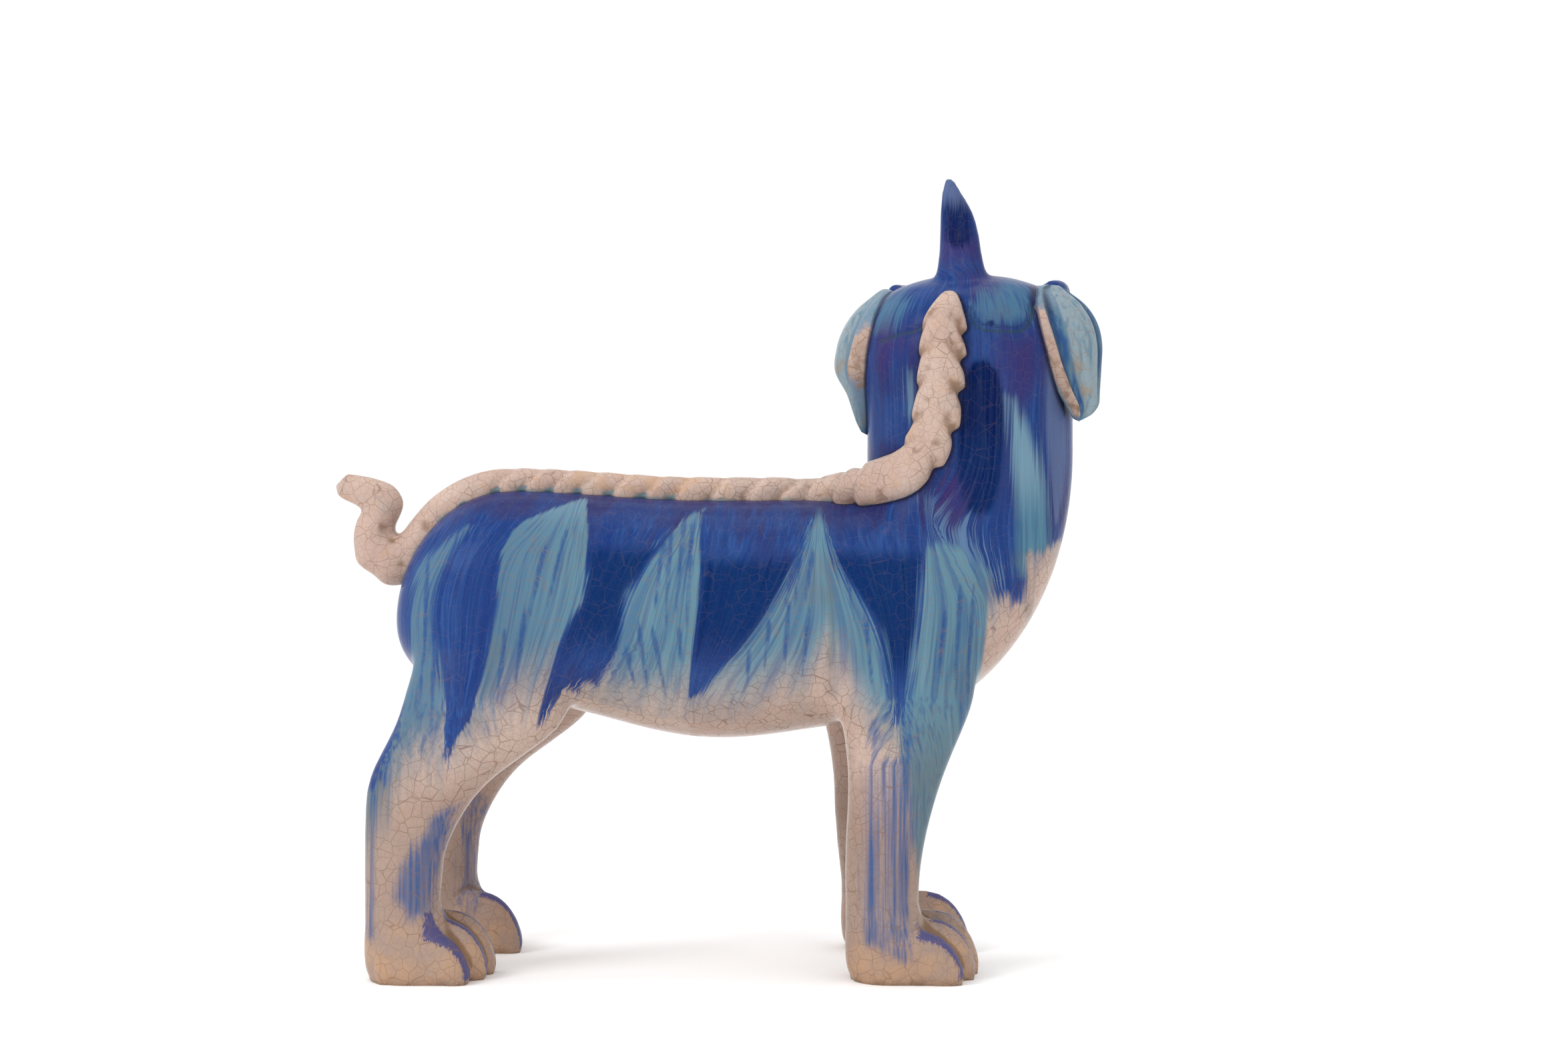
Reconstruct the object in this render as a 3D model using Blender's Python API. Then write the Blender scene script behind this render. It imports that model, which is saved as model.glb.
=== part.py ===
"""Standing foo dog in crackle-glazed stoneware, looking over its left shoulder.

The figure is pressed in moulds and luted together: two half shells for trunk and neck, a hollow head,
four hollow legs with paws, and solid tail, spine ridge, horn, ears and face pieces.
X runs from rump to chest, Y to the figure's left and Z up. Sizes are in millimetres.
"""

import math

import bmesh
import bpy
import numpy as np
from mathutils import Vector
from mathutils.bvhtree import BVHTree

MM = 0.001

# Making
LUTE = 0.3  # gap between two pieces where the slip was
WALL = 6.0  # pressed wall of trunk and neck
HEAD_WALL = 5.5
LEG_WALL = 6.0
VENT_RADIUS = 5.0  # hole under the belly that lets the air out in the kiln
AIR_HOLE_RADIUS = 3.5  # holes from the trunk into the legs

# Trunk and neck, in side view
RUMP_X = -124.0  # rearmost point
HIP_X = -80.0  # front of the rump's dome
BELLY_X = 0.0  # lowest point of the belly
BRISKET_X = 60.0  # underside between the forelegs
WITHERS_X = 56.5  # back of the neck
CHEST_X = 135.0  # front of the neck
RUMP_Z = 128.0
HIP_Z = 181.0
SADDLE_Z = 177.5
GROIN_Z = 100.0
BELLY_Z = 86.0
BRISKET_Z = 92.0
NECK_BASE_Z = 195.0  # top of the chest's curve
NECK_RISE = 10.0  # straight neck above the chest's curve
NECK_JOINT_Z = NECK_BASE_Z + NECK_RISE  # where the head is luted on
WITHERS_FILLET = 10.0
HIP_HALF_WIDTH = 41.0
TRUNK_HALF_WIDTH = 44.5
NECK_HALF_WIDTH = 38.5
TRUNK_POWER = 2.25  # superellipse power of the trunk's sections

# Head, which turns about the neck's axis
HEAD_TURN = 73.0  # degrees to the figure's left
CROWN_HEIGHT = 58.3  # above the neck joint
HORN_HEIGHT = 95.0  # tip above the neck joint
EYE_RADIUS = 8.5
EYE_SPREAD = 17.0
NOSTRIL_RADIUS = 2.7

# Legs and paws
LEG_SPREAD = 70.0  # between the middles of a left and a right leg
HIND_LEG_BACK = 36.5  # shank's axis behind the hip
FORE_LEG_BACK = 35.0  # shank's axis behind the neck's axis
FAR_HIND_STEP = 5.0  # the left hind paw stands this much further forward
ANKLE_Z = 27.0
SHANK_HALF_LENGTH = 14.0
SHANK_HALF_WIDTH = 13.0
BORE_FLOOR_Z = 42.0  # the shank is solid below this
PAW_LENGTH = 48.0
FORE_PAW_LONGER = 3.0
TOE_COUNT = 3
TOE_PITCH = 11.4
TOE_HALF_WIDTH = 6.6
TOE_HEIGHT = 24.0
OUTER_TOE_SHORTER = 5.5
TOE_SPLAY = 4.0  # degrees between neighbouring toes

# Spine ridge and tail
SPINE_HALF_WIDTH = 8.7
SPINE_HALF_HEIGHT = 8.8
SPINE_STEP = 4.5  # from one section to the next where it is plain
SPINE_TIP = 14.0  # length that narrows to the end on the crown
SPINE_START_X = RUMP_X + 11.3  # its rear end, under the tail's root
PINCH_SLANT = 6.5  # how far each pinch leans towards the head on its way to the top
PINCH_STEEP = 1.7  # how soon the coil swells again beyond a pinch
PINCH_FALL = 3.2  # how slowly it narrows before the next one
BACK_PINCH = 0.22  # depth of a pinch on the back, as a share of the radius
NAPE_PINCH = 0.3  # and on the nape
TAIL_ROOT_Z = 153.0

NECK_X = (WITHERS_X + CHEST_X) / 2

GLAZE_BLUE = (0.035, 0.09, 0.30)
GLAZE_TEAL = (0.16, 0.36, 0.42)
GLAZE_CREAM = (0.60, 0.47, 0.40)
GLAZE_WHITE = (0.72, 0.66, 0.58)
GLAZE_DARK = (0.02, 0.02, 0.03)
GLAZE_RED = (0.36, 0.10, 0.08)


def blend(low, high, share):
    return low + (high - low) * share


def ease(share):
    share = min(max(share, 0.0), 1.0)
    return 0.5 - 0.5 * math.cos(math.pi * share)


def through(rows, count):
    """A Catmull-Rom curve through rows of numbers, as `count` evenly spaced rows."""
    rows = np.array(rows, float)
    padded = np.vstack([2 * rows[0] - rows[1], rows, 2 * rows[-1] - rows[-2]])
    found = []
    for place in np.linspace(0, len(rows) - 1, count):
        i = min(int(place), len(rows) - 2)
        u = place - i
        a, b, c, d = padded[i : i + 4]
        found.append(
            0.5 * (2 * b + (c - a) * u + (2 * a - 5 * b + 4 * c - d) * u**2 + (3 * b - a - 3 * c + d) * u**3)
        )
    return found


def rounded(value, power):
    return math.copysign(abs(value) ** (2 / power), value)


def loop(centre, half_a, half_b, count=16, power=2.0):
    """Points round a superellipse with the half axes `half_a` and `half_b`."""
    turns = [2 * math.pi * i / count for i in range(count)]
    return [
        centre + half_a * rounded(math.cos(t), power) + half_b * rounded(math.sin(t), power)
        for t in turns
    ]


def loft(name, loops, start="flat", end="flat"):
    """A skin over the loops. An end is "flat", "open" or the point that it closes in."""
    built = bmesh.new()
    rings = [[built.verts.new(point * MM) for point in points] for points in loops]
    for ring, following in zip(rings, rings[1:]):
        count = len(ring)
        for i in range(count):
            j = (i + 1) % count
            built.faces.new((ring[i], ring[j], following[j], following[i]))
    for ring, cap, step in ((rings[0], start, 1), (rings[-1], end, -1)):
        if cap == "flat":
            built.faces.new(ring[::-step])
        elif cap != "open":
            tip = built.verts.new(cap * MM)
            for i in range(len(ring)):
                pair = (ring[i], ring[(i + 1) % len(ring)])
                built.faces.new((tip, *pair[::-step]))
    bmesh.ops.recalc_face_normals(built, faces=built.faces)
    mesh = bpy.data.meshes.new(name)
    built.to_mesh(mesh)
    built.free()
    mesh.shade_smooth()
    return mesh


def ball(name, centre, radius, across=14, down=9):
    """A ball as a loft along X, so that its poles face forward and back."""
    turns = [math.pi * i / down for i in range(1, down)]
    loops = [
        loop(
            centre - Vector((radius * math.cos(t), 0, 0)),
            Vector((0, radius * math.sin(t), 0)),
            Vector((0, 0, radius * math.sin(t))),
            across,
        )
        for t in turns
    ]
    reach = Vector((radius, 0, 0))
    return loft(name, loops, centre - reach, centre + reach)


def tube(name, rows, count, sides, side=Vector((0, 1, 0))):
    """A round coil through rows of (x, y, z, radius), closed in points at both ends."""
    rows = through(rows, count)
    points = [Vector(row[:3]) for row in rows]
    loops = []
    for i, row in enumerate(rows):
        along = (points[min(i + 1, count - 1)] - points[max(i - 1, 0)]).normalized()
        up = along.cross(side).normalized()
        loops.append(loop(points[i], up * row[3], along.cross(up) * row[3], sides))
    first = points[0] + (points[0] - points[1]).normalized() * rows[0][3] * 0.5
    last = points[-1] + (points[-1] - points[-2]).normalized() * rows[-1][3] * 0.5
    return loft(name, loops, first, last)


def box(name, low, high):
    middle = (low + high) / 2
    half = (high - low) / 2
    across, along = Vector((half.x, 0, 0)), Vector((0, half.y, 0))
    loops = [
        [Vector((middle.x, middle.y, z)) + a * across + b * along for a, b in ((1, 1), (-1, 1), (-1, -1), (1, -1))]
        for z in (low.z, high.z)
    ]
    return loft(name, loops)


def glaze(name, colour, roughness=0.2):
    material = bpy.data.materials.new(name)
    material.use_nodes = True
    shader = material.node_tree.nodes["Principled BSDF"]
    shader.inputs["Base Color"].default_value = (*colour, 1.0)
    shader.inputs["Roughness"].default_value = roughness
    shader.inputs["Metallic"].default_value = 0.0
    material.diffuse_color = (*colour, 1.0)
    return material


def placed(name, mesh, parent):
    made = bpy.data.objects.new(name, mesh)
    bpy.context.scene.collection.objects.link(made)
    made.parent = parent
    return made


def piece(name, mesh, material, parent):
    made = placed(name, mesh, parent)
    mesh.materials.clear()
    mesh.materials.append(material)
    return made


def cutter(name, mesh, parent, grow=0.0):
    """A hidden tool. `grow` is how far its skin stands out from the mesh."""
    made = placed(name, mesh, parent)
    made.hide_render = True
    made.display_type = "WIRE"
    if grow:
        swell = made.modifiers.new("swell", "DISPLACE")
        swell.mid_level = 0.0
        swell.strength = grow * MM
    return made


def combine(target, operation, *tools):
    for tool in tools:
        step = target.modifiers.new(f"{operation.lower()} {tool.name}", "BOOLEAN")
        step.operation = operation
        step.object = tool
        step.solver = "EXACT"


def empty(name, parent=None):
    made = bpy.data.objects.new(name, None)
    bpy.context.scene.collection.objects.link(made)
    made.parent = parent
    return made


# Trunk and neck


def rump_section(turn):
    """Back point, belly point and half width of the rump's dome, `turn` degrees from its pole."""
    turn = math.radians(turn)
    x = HIP_X - (HIP_X - RUMP_X) * math.cos(turn)
    back = Vector((x, 0, RUMP_Z + (HIP_Z - RUMP_Z) * math.sin(turn)))
    under = Vector((x, 0, RUMP_Z - (RUMP_Z - GROIN_Z) * math.sin(turn)))
    return back, under, HIP_HALF_WIDTH * math.sin(turn) ** 0.85


def barrel_section(share):
    back_x = blend(HIP_X, WITHERS_X - WITHERS_FILLET, share)
    back = Vector((back_x, 0, blend(HIP_Z, SADDLE_Z, ease(share / 0.6))))
    under_x = blend(HIP_X, BRISKET_X, share)
    if under_x < BELLY_X:
        under_z = blend(GROIN_Z, BELLY_Z, ease((under_x - HIP_X) / (BELLY_X - HIP_X)))
    else:
        under_z = blend(BELLY_Z, BRISKET_Z, ease((under_x - BELLY_X) / (BRISKET_X - BELLY_X)))
    half_width = blend(HIP_HALF_WIDTH, TRUNK_HALF_WIDTH, ease(share / 0.7))
    return back, Vector((under_x, 0, under_z)), half_width


def chest_section(share):
    """Sections that fan round the withers, from upright behind the forelegs to level at the neck."""
    turn = math.pi / 2 * share
    fillet_x = WITHERS_X - WITHERS_FILLET
    back = Vector(
        (
            fillet_x + WITHERS_FILLET * math.sin(turn),
            0,
            SADDLE_Z + WITHERS_FILLET * (1 - math.cos(turn)),
        )
    )
    front = Vector(
        (
            BRISKET_X + (CHEST_X - BRISKET_X) * math.sin(turn),
            0,
            NECK_BASE_Z - (NECK_BASE_Z - BRISKET_Z) * math.cos(turn),
        )
    )
    return back, front, blend(TRUNK_HALF_WIDTH, NECK_HALF_WIDTH, ease(share))


def neck_section(share, top_z):
    low_back = SADDLE_Z + WITHERS_FILLET
    back = Vector((WITHERS_X, 0, blend(low_back, top_z, share)))
    front = Vector((CHEST_X, 0, blend(NECK_BASE_Z, top_z, share)))
    return back, front, NECK_HALF_WIDTH


def trunk_loops(top_z, sides=24):
    sections = [rump_section(90 * i / 6) for i in range(1, 7)]
    sections += [barrel_section(i / 7) for i in range(1, 8)]
    sections += [chest_section(i / 8) for i in range(1, 9)]
    sections += [neck_section(share, top_z) for share in (0.5, 1.0)]
    return [
        loop((back + under) / 2, (back - under) / 2, Vector((0, half_width, 0)), sides, TRUNK_POWER)
        for back, under, half_width in sections
    ]


def trunk_mesh(name, top_z, end):
    return loft(name, trunk_loops(top_z), Vector((RUMP_X, 0, RUMP_Z)), end)


def trunk_shells(figure, material):
    """Two pressed half shells with an open neck, parted along the middle."""
    reach = 400.0
    vent = loft(
        "vent_form",
        [
            loop(Vector((BELLY_X, 0, z)), Vector((VENT_RADIUS, 0, 0)), Vector((0, VENT_RADIUS, 0)), 16)
            for z in (BELLY_Z - 20, BELLY_Z + 20)
        ],
    )
    vent_tool = cutter("vent_tool", vent, figure)
    shells = []
    for name, side in (("right_shell", -1), ("left_shell", 1)):
        shell = piece(name, trunk_mesh(name, NECK_JOINT_Z - LUTE / 2, "open"), material, figure)
        press = shell.modifiers.new("pressed wall", "SOLIDIFY")
        press.thickness = WALL * MM
        press.offset = -1.0
        press.use_even_offset = True
        edges = sorted((-side * reach, side * LUTE / 2))
        other_half = box(
            f"{name}_parting", Vector((-reach, edges[0], -reach)), Vector((reach, edges[1], reach))
        )
        combine(shell, "DIFFERENCE", cutter(f"{name}_parting_tool", other_half, figure), vent_tool)
        shells.append(shell)
    return shells


# Head. Its pieces are drawn looking along X, and the head frame turns them.

HEAD_ROWS = (  # height above the joint, reach to the nape, reach to the face, half width
    (0.0, 38.6, 38.6, 38.5),
    (7.0, 39.3, 41.0, 39.0),
    (19.0, 40.0, 44.0, 40.5),
    (31.0, 39.5, 45.0, 41.0),
    (43.0, 36.0, 42.0, 38.5),
    (51.5, 28.5, 33.0, 31.0),
    (56.5, 16.0, 19.0, 18.5),
)


def head_mesh(name, bottom, end, rings=12, sides=24):
    rows = [(bottom, *HEAD_ROWS[0][1:]), *HEAD_ROWS[1:]]
    loops = []
    for height, nape, face, half_width in through(rows, rings)[::-1]:
        centre = Vector(((face - nape) / 2, 0, height))
        loops.append(
            loop(centre, Vector(((face + nape) / 2, 0, 0)), Vector((0, half_width, 0)), sides, TRUNK_POWER)
        )
    return loft(name, loops, Vector((0, 0, CROWN_HEIGHT)), end)


def upright_loft(name, rows, sides, count, power=2.0):
    """A piece lofted along X through rows of (x, top, bottom, half width), closed in a point in front."""
    rows = through(rows, count)
    loops = [
        loop(
            Vector((x, 0, (top + bottom) / 2)),
            Vector((0, 0, (top - bottom) / 2)),
            Vector((0, half_width, 0)),
            sides,
            power,
        )
        for x, top, bottom, half_width in rows
    ]
    x, top, bottom, half_width = rows[-1]
    return loft(name, loops, "flat", Vector((x + half_width * 0.18, 0, (top + bottom) / 2)))


MUZZLE_ROWS = (
    (34.0, 34.5, 7.0, 23.0),
    (46.0, 35.0, 6.0, 25.5),
    (55.0, 33.0, 6.0, 23.5),
    (61.0, 29.5, 7.5, 19.0),
    (64.0, 26.0, 9.5, 13.0),
)
JAW_ROWS = (
    (32.0, -5.5, -17.0, 18.0),
    (44.0, -5.0, -18.5, 20.0),
    (52.0, -4.0, -16.5, 17.5),
    (57.0, -4.5, -13.5, 12.5),
)
TONGUE_ROWS = (
    (34.0, 0.5, -5.0, 9.0),
    (44.0, 1.5, -4.6, 10.5),
    (53.0, 1.2, -3.4, 9.5),
    (59.0, 0.2, -3.0, 6.5),
)


NOSE_ROWS = (  # x, height, half height, half width
    (50.0, 34.0, 4.5, 7.0),
    (56.0, 34.5, 6.5, 10.5),
    (62.0, 33.0, 7.0, 13.0),
    (67.5, 31.0, 5.5, 10.5),
)
NOSE_TIP_X = 70.5
NOSE_TIP_Z = 30.5
NOSTRIL_X = 69.0
NOSTRIL_SPREAD = 6.2
NOSTRIL_Z = 31.0
TOOTH_HALF_THICKNESS = 1.6
TOOTH_ROOT = 2.4  # how deep the band is set in the gum
TOOTH_EDGE = 1.6  # the band's least height below the gum
SMALL_TOOTH = 2.0  # how much further the small teeth reach
FANG = 4.6  # and the two fangs
ARCH_BACK_X = 20.0  # where both rows of teeth curve round from
UPPER_ARCH_LENGTH = 39.0
UPPER_ARCH_HALF_WIDTH = 20.5
UPPER_GUM_Z = 7.0
LOWER_ARCH_LENGTH = 34.0
LOWER_ARCH_HALF_WIDTH = 15.5
LOWER_GUM_DROP = 4.6  # the lower gum's depth below the neck joint


def nose_mesh():
    loops = [
        loop(Vector((x, 0, height)), Vector((0, 0, half_height)), Vector((0, half_width, 0)), 14, 2.3)
        for x, height, half_height, half_width in through(NOSE_ROWS, 6)
    ]
    return loft("nose", loops, "flat", Vector((NOSE_TIP_X, 0, NOSE_TIP_Z)))


def teeth_mesh(name, gum_z, down, arch_length, arch_half_width):
    """A curved band of teeth with a fang at each side, cut to a wavy edge."""
    steps = 28
    loops = []
    for i in range(steps + 1):
        share = i / steps * 2 - 1
        turn = share * math.radians(78)
        fang = math.exp(-(((abs(share) - 0.62) / 0.09) ** 2))
        small = abs(math.cos(math.pi * share * 4.5)) * (abs(share) < 0.5)
        depth = TOOTH_EDGE + FANG * fang + SMALL_TOOTH * small
        outward = Vector((math.cos(turn), math.sin(turn), 0)) * TOOTH_HALF_THICKNESS
        middle = Vector((ARCH_BACK_X + arch_length * math.cos(turn), arch_half_width * math.sin(turn), gum_z))
        tip = Vector((0, 0, -depth if down else depth))
        root = Vector((0, 0, TOOTH_ROOT if down else -TOOTH_ROOT))
        loops.append(
            [
                middle + root + outward,
                middle + root - outward,
                middle + tip - outward * 0.5,
                middle + tip + outward * 0.5,
            ]
        )
    return loft(name, loops)


EAR_ROWS = (  # height, inner edge x and y, outer edge x and y, half thickness
    (51.5, -12.0, 28.0, 2.0, 37.0, 3.4),
    (46.0, -20.0, 27.5, 4.0, 43.0, 5.8),
    (39.0, -23.0, 29.5, 3.0, 47.5, 6.6),
    (31.0, -23.0, 32.0, 1.0, 49.5, 7.0),
    (22.0, -21.0, 35.0, -1.0, 49.5, 6.6),
)
RIGHT_EAR_END = (  # full and blunt
    (13.0, -17.5, 38.5, -2.0, 49.0, 6.0),
    (8.0, -14.5, 41.0, -2.5, 48.7, 5.2),
    (4.5, -12.0, 42.3, -4.5, 46.9, 3.9),
    (2.6, -10.5, 43.0, -7.0, 44.8, 2.0),
)
LEFT_EAR_END = (  # narrow, and pressed to the neck
    (13.0, -17.0, 36.5, -6.0, 43.4, 5.2),
    (7.0, -14.0, 36.6, -7.0, 41.6, 4.4),
    (2.0, -11.5, 36.8, -7.5, 40.4, 3.6),
    (-1.5, -9.8, 37.0, -7.8, 39.6, 2.4),
)


def ear_mesh(name, side, end_rows, sides=16, count=12):
    """A drooping flap whose back is folded: a rim, a furrow beside it and a full outer roll."""
    loops = []
    for height, inner_x, inner_y, outer_x, outer_y, half_thick in through((*EAR_ROWS, *end_rows), count):
        inner, outer = Vector((inner_x, inner_y, height)), Vector((outer_x, outer_y, height))
        centre, half = (inner + outer) / 2, (outer - inner) / 2
        thick = Vector((-half.y, half.x, 0)).normalized() * half_thick
        points = []
        for i in range(sides):
            turn = 2 * math.pi * i / sides
            across, out = math.cos(turn), math.sin(turn)
            furrow = 1 - 0.45 * math.exp(-(((across + 0.45) / 0.22) ** 2)) * (out > 0)
            point = centre + half * across + thick * out * furrow
            points.append(Vector((point.x, point.y * side, point.z)))
        loops.append(points)
    height, inner_x, inner_y, outer_x, outer_y, half_thick = end_rows[-1]
    tip = Vector(((inner_x + outer_x) / 2, (inner_y + outer_y) / 2 * side, height - half_thick / 2))
    return loft(name, loops, "flat", tip)


HORN_ROWS = (  # height, middle x, middle y, half length, half width
    (50.0, -14.0, 0.0, 11.5, 11.5),
    (57.0, -14.0, 0.0, 9.6, 9.8),
    (64.0, -14.0, 0.3, 8.3, 8.3),
    (73.0, -14.0, 0.8, 7.4, 7.4),
    (81.0, -14.2, 1.8, 6.2, 6.2),
    (89.0, -14.8, 3.6, 3.6, 3.6),
    (93.5, -15.3, 4.5, 1.8, 2.0),
)


def horn_mesh():
    loops = [
        loop(Vector((x, y, height)), Vector((half_length, 0, 0)), Vector((0, half_width, 0)), 14)
        for height, x, y, half_length, half_width in through(HORN_ROWS, 11)
    ]
    last = HORN_ROWS[-1]
    return loft("horn", loops, "flat", Vector((last[1], last[2], HORN_HEIGHT)))


BROW_ROWS = (  # x, y, height, radius
    (44.5, 5.0, 40.0, 3.2),
    (43.0, 13.0, 47.0, 4.6),
    (37.0, 23.0, 50.5, 5.0),
    (25.0, 29.5, 52.5, 4.8),
    (13.0, 31.5, 53.0, 4.4),
    (5.0, 30.5, 53.0, 3.4),
)
BEARD_ROWS = (  # height, middle x, half length, half width
    (-12.0, 47.0, 7.5, 10.0),
    (-19.0, 47.5, 7.5, 9.5),
    (-26.0, 49.0, 6.0, 7.0),
    (-32.0, 51.0, 3.4, 3.8),
)


def beard_mesh():
    loops = [
        loop(Vector((x, 0, height)), Vector((half_length, 0, 0)), Vector((0, half_width, 0)), 14)
        for height, x, half_length, half_width in through(BEARD_ROWS, 7)
    ]
    return loft("beard", loops, "flat", Vector((52.5, 0, -35.0)))


def head_pieces(figure, trunk_tool, glazes):
    """The hollow head and everything luted to it. Returns the tool that cuts a seat on it."""
    frame = empty("head_frame", figure)
    frame.location = Vector((NECK_X, 0, NECK_JOINT_Z)) * MM
    frame.rotation_euler.z = math.radians(HEAD_TURN)

    shell = piece("head_shell", head_mesh("head_shell", LUTE / 2, "open"), glazes["blue"], frame)
    press = shell.modifiers.new("pressed wall", "SOLIDIFY")
    press.thickness = HEAD_WALL * MM
    press.offset = -1.0
    press.use_even_offset = True
    head_tool = cutter("head_tool", head_mesh("head_form", 0.0, "flat"), frame, LUTE)

    muzzle_mesh = upright_loft("muzzle", MUZZLE_ROWS, 20, 8, 2.5)
    muzzle = piece("muzzle", muzzle_mesh, glazes["blue"], frame)
    combine(muzzle, "DIFFERENCE", head_tool)
    muzzle_tool = cutter("muzzle_tool", muzzle_mesh, frame, LUTE)

    nose = piece("nose", nose_mesh(), glazes["teal"], frame)
    nostrils = [
        cutter(
            f"nostril_tool_{i}",
            ball(f"nostril_{i}", Vector((NOSTRIL_X, side * NOSTRIL_SPREAD, NOSTRIL_Z)), NOSTRIL_RADIUS, 10, 6),
            frame,
        )
        for i, side in enumerate((-1, 1))
    ]
    combine(nose, "DIFFERENCE", muzzle_tool, head_tool, *nostrils)

    jaw_mesh = upright_loft("lower_jaw", JAW_ROWS, 20, 7, 2.4)
    jaw = piece("lower_jaw", jaw_mesh, glazes["cream"], frame)
    combine(jaw, "DIFFERENCE", head_tool, trunk_tool)
    jaw_tool = cutter("jaw_tool", jaw_mesh, frame, LUTE)

    tongue = piece("tongue", upright_loft("tongue", TONGUE_ROWS, 14, 7), glazes["red"], frame)
    combine(tongue, "DIFFERENCE", head_tool, trunk_tool, jaw_tool)
    tongue_tool = cutter("tongue_tool", tongue.data, frame, LUTE)

    upper_mesh = teeth_mesh("upper_teeth", UPPER_GUM_Z, True, UPPER_ARCH_LENGTH, UPPER_ARCH_HALF_WIDTH)
    upper = piece("upper_teeth", upper_mesh, glazes["white"], frame)
    combine(upper, "DIFFERENCE", muzzle_tool, head_tool)
    lower_mesh = teeth_mesh("lower_teeth", -LOWER_GUM_DROP, False, LOWER_ARCH_LENGTH, LOWER_ARCH_HALF_WIDTH)
    lower = piece("lower_teeth", lower_mesh, glazes["white"], frame)
    combine(lower, "DIFFERENCE", jaw_tool, head_tool, trunk_tool, tongue_tool)

    beard = piece("beard", beard_mesh(), glazes["teal"], frame)
    combine(beard, "DIFFERENCE", jaw_tool, trunk_tool)

    horn = piece("horn", horn_mesh(), glazes["blue"], frame)
    combine(horn, "DIFFERENCE", head_tool)

    for name, side, ear_end in (("right", -1, RIGHT_EAR_END), ("left", 1, LEFT_EAR_END)):
        eye_mesh = ball(f"{name}_eye", Vector((38.5, side * EYE_SPREAD, 37.5)), EYE_RADIUS)
        eye = piece(f"{name}_eye", eye_mesh, glazes["dark"], frame)
        combine(eye, "DIFFERENCE", head_tool, muzzle_tool)
        eye_tool = cutter(f"{name}_eye_tool", eye_mesh, frame, LUTE)
        rows = [(x, y * side, height, radius) for x, y, height, radius in BROW_ROWS]
        brow = piece(f"{name}_brow", tube(f"{name}_brow", rows, 11, 12, Vector((0, 0, 1))), glazes["blue"], frame)
        combine(brow, "DIFFERENCE", head_tool, eye_tool, muzzle_tool)
        brow_tool = cutter(f"{name}_brow_tool", brow.data, frame, LUTE)
        ear = piece(f"{name}_ear", ear_mesh(f"{name}_ear", side, ear_end), glazes["teal"], frame)
        combine(ear, "DIFFERENCE", head_tool, trunk_tool, brow_tool)
    return head_tool


# Legs and paws

HIND_LEG_ROWS = (  # height, middle ahead of the shank, half length, shift inwards, half width
    (ANKLE_Z, 0.0, SHANK_HALF_LENGTH, 0.0, SHANK_HALF_WIDTH),
    (37.0, 0.2, SHANK_HALF_LENGTH + 0.3, 0.0, SHANK_HALF_WIDTH + 0.2),
    (48.0, 1.0, SHANK_HALF_LENGTH + 1.2, 0.0, SHANK_HALF_WIDTH + 0.6),
    (62.0, 4.5, SHANK_HALF_LENGTH + 5.0, 0.5, SHANK_HALF_WIDTH + 1.6),
    (73.0, 9.5, 23.4, 1.0, 15.8),
    (83.0, 18.5, 28.0, 2.0, 17.0),
    (95.0, 28.5, 32.0, 4.0, 18.0),
    (109.0, 30.0, 30.0, 8.0, 17.5),
    (124.0, 28.0, 23.0, 12.5, 14.5),
    (136.0, 26.0, 12.0, 16.0, 9.0),
)
FORE_LEG_ROWS = (
    (ANKLE_Z, 0.0, SHANK_HALF_LENGTH - 0.5, 0.0, SHANK_HALF_WIDTH - 0.2),
    (40.0, 0.3, SHANK_HALF_LENGTH, 0.0, SHANK_HALF_WIDTH),
    (54.0, 1.6, SHANK_HALF_LENGTH + 1.4, 0.0, SHANK_HALF_WIDTH + 0.6),
    (68.0, 4.0, SHANK_HALF_LENGTH + 3.2, 0.5, SHANK_HALF_WIDTH + 1.6),
    (80.0, 6.0, 19.6, 1.0, 15.6),
    (92.0, 8.0, 22.9, 2.5, 17.0),
    (102.0, 9.5, 25.5, 4.5, 17.6),
    (114.0, 10.5, 25.5, 8.0, 16.5),
    (128.0, 10.0, 20.0, 12.0, 13.5),
    (138.0, 9.0, 11.0, 15.0, 8.5),
)


def leg_loops(rows, shank_x, side, inset=0.0, sides=16):
    loops = []
    for height, ahead, half_length, inwards, half_width in rows:
        centre = Vector((shank_x + ahead, side * (LEG_SPREAD / 2 - inwards), height))
        length = max(half_length - inset, 2.0)
        width = max(half_width - inset, 2.0)
        loops.append(loop(centre, Vector((length, 0, 0)), Vector((0, width, 0)), sides, 2.1))
    return loops


def leg(name, rows, shank_x, side, material, figure, trunk_tool, shells):
    """A hollow leg whose top is cut to seat on the trunk, with an air hole through the trunk's wall."""
    shaped = through(rows, 13)
    shaped[0][0] = ANKLE_Z + LUTE / 2
    made = piece(name, loft(name, leg_loops(shaped, shank_x, side)), material, figure)
    hollow = [row for row in shaped if row[0] > BORE_FLOOR_Z]
    bore = loft(f"{name}_bore", leg_loops(hollow, shank_x, side, LEG_WALL, 12))
    combine(made, "DIFFERENCE", cutter(f"{name}_bore_tool", bore, figure), trunk_tool)
    height, ahead, _, inwards, _ = rows[-3]
    centre = Vector((shank_x + ahead, side * (LEG_SPREAD / 2 - inwards), 0))
    radius = AIR_HOLE_RADIUS
    hole = loft(
        f"{name}_air_hole",
        [
            loop(centre + Vector((0, 0, z)), Vector((radius, 0, 0)), Vector((0, radius, 0)), 10)
            for z in (height - 25, height + 15)
        ],
    )
    shell = shells[0] if side < 0 else shells[1]
    combine(shell, "DIFFERENCE", cutter(f"{name}_air_hole_tool", hole, figure))
    return made


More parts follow.
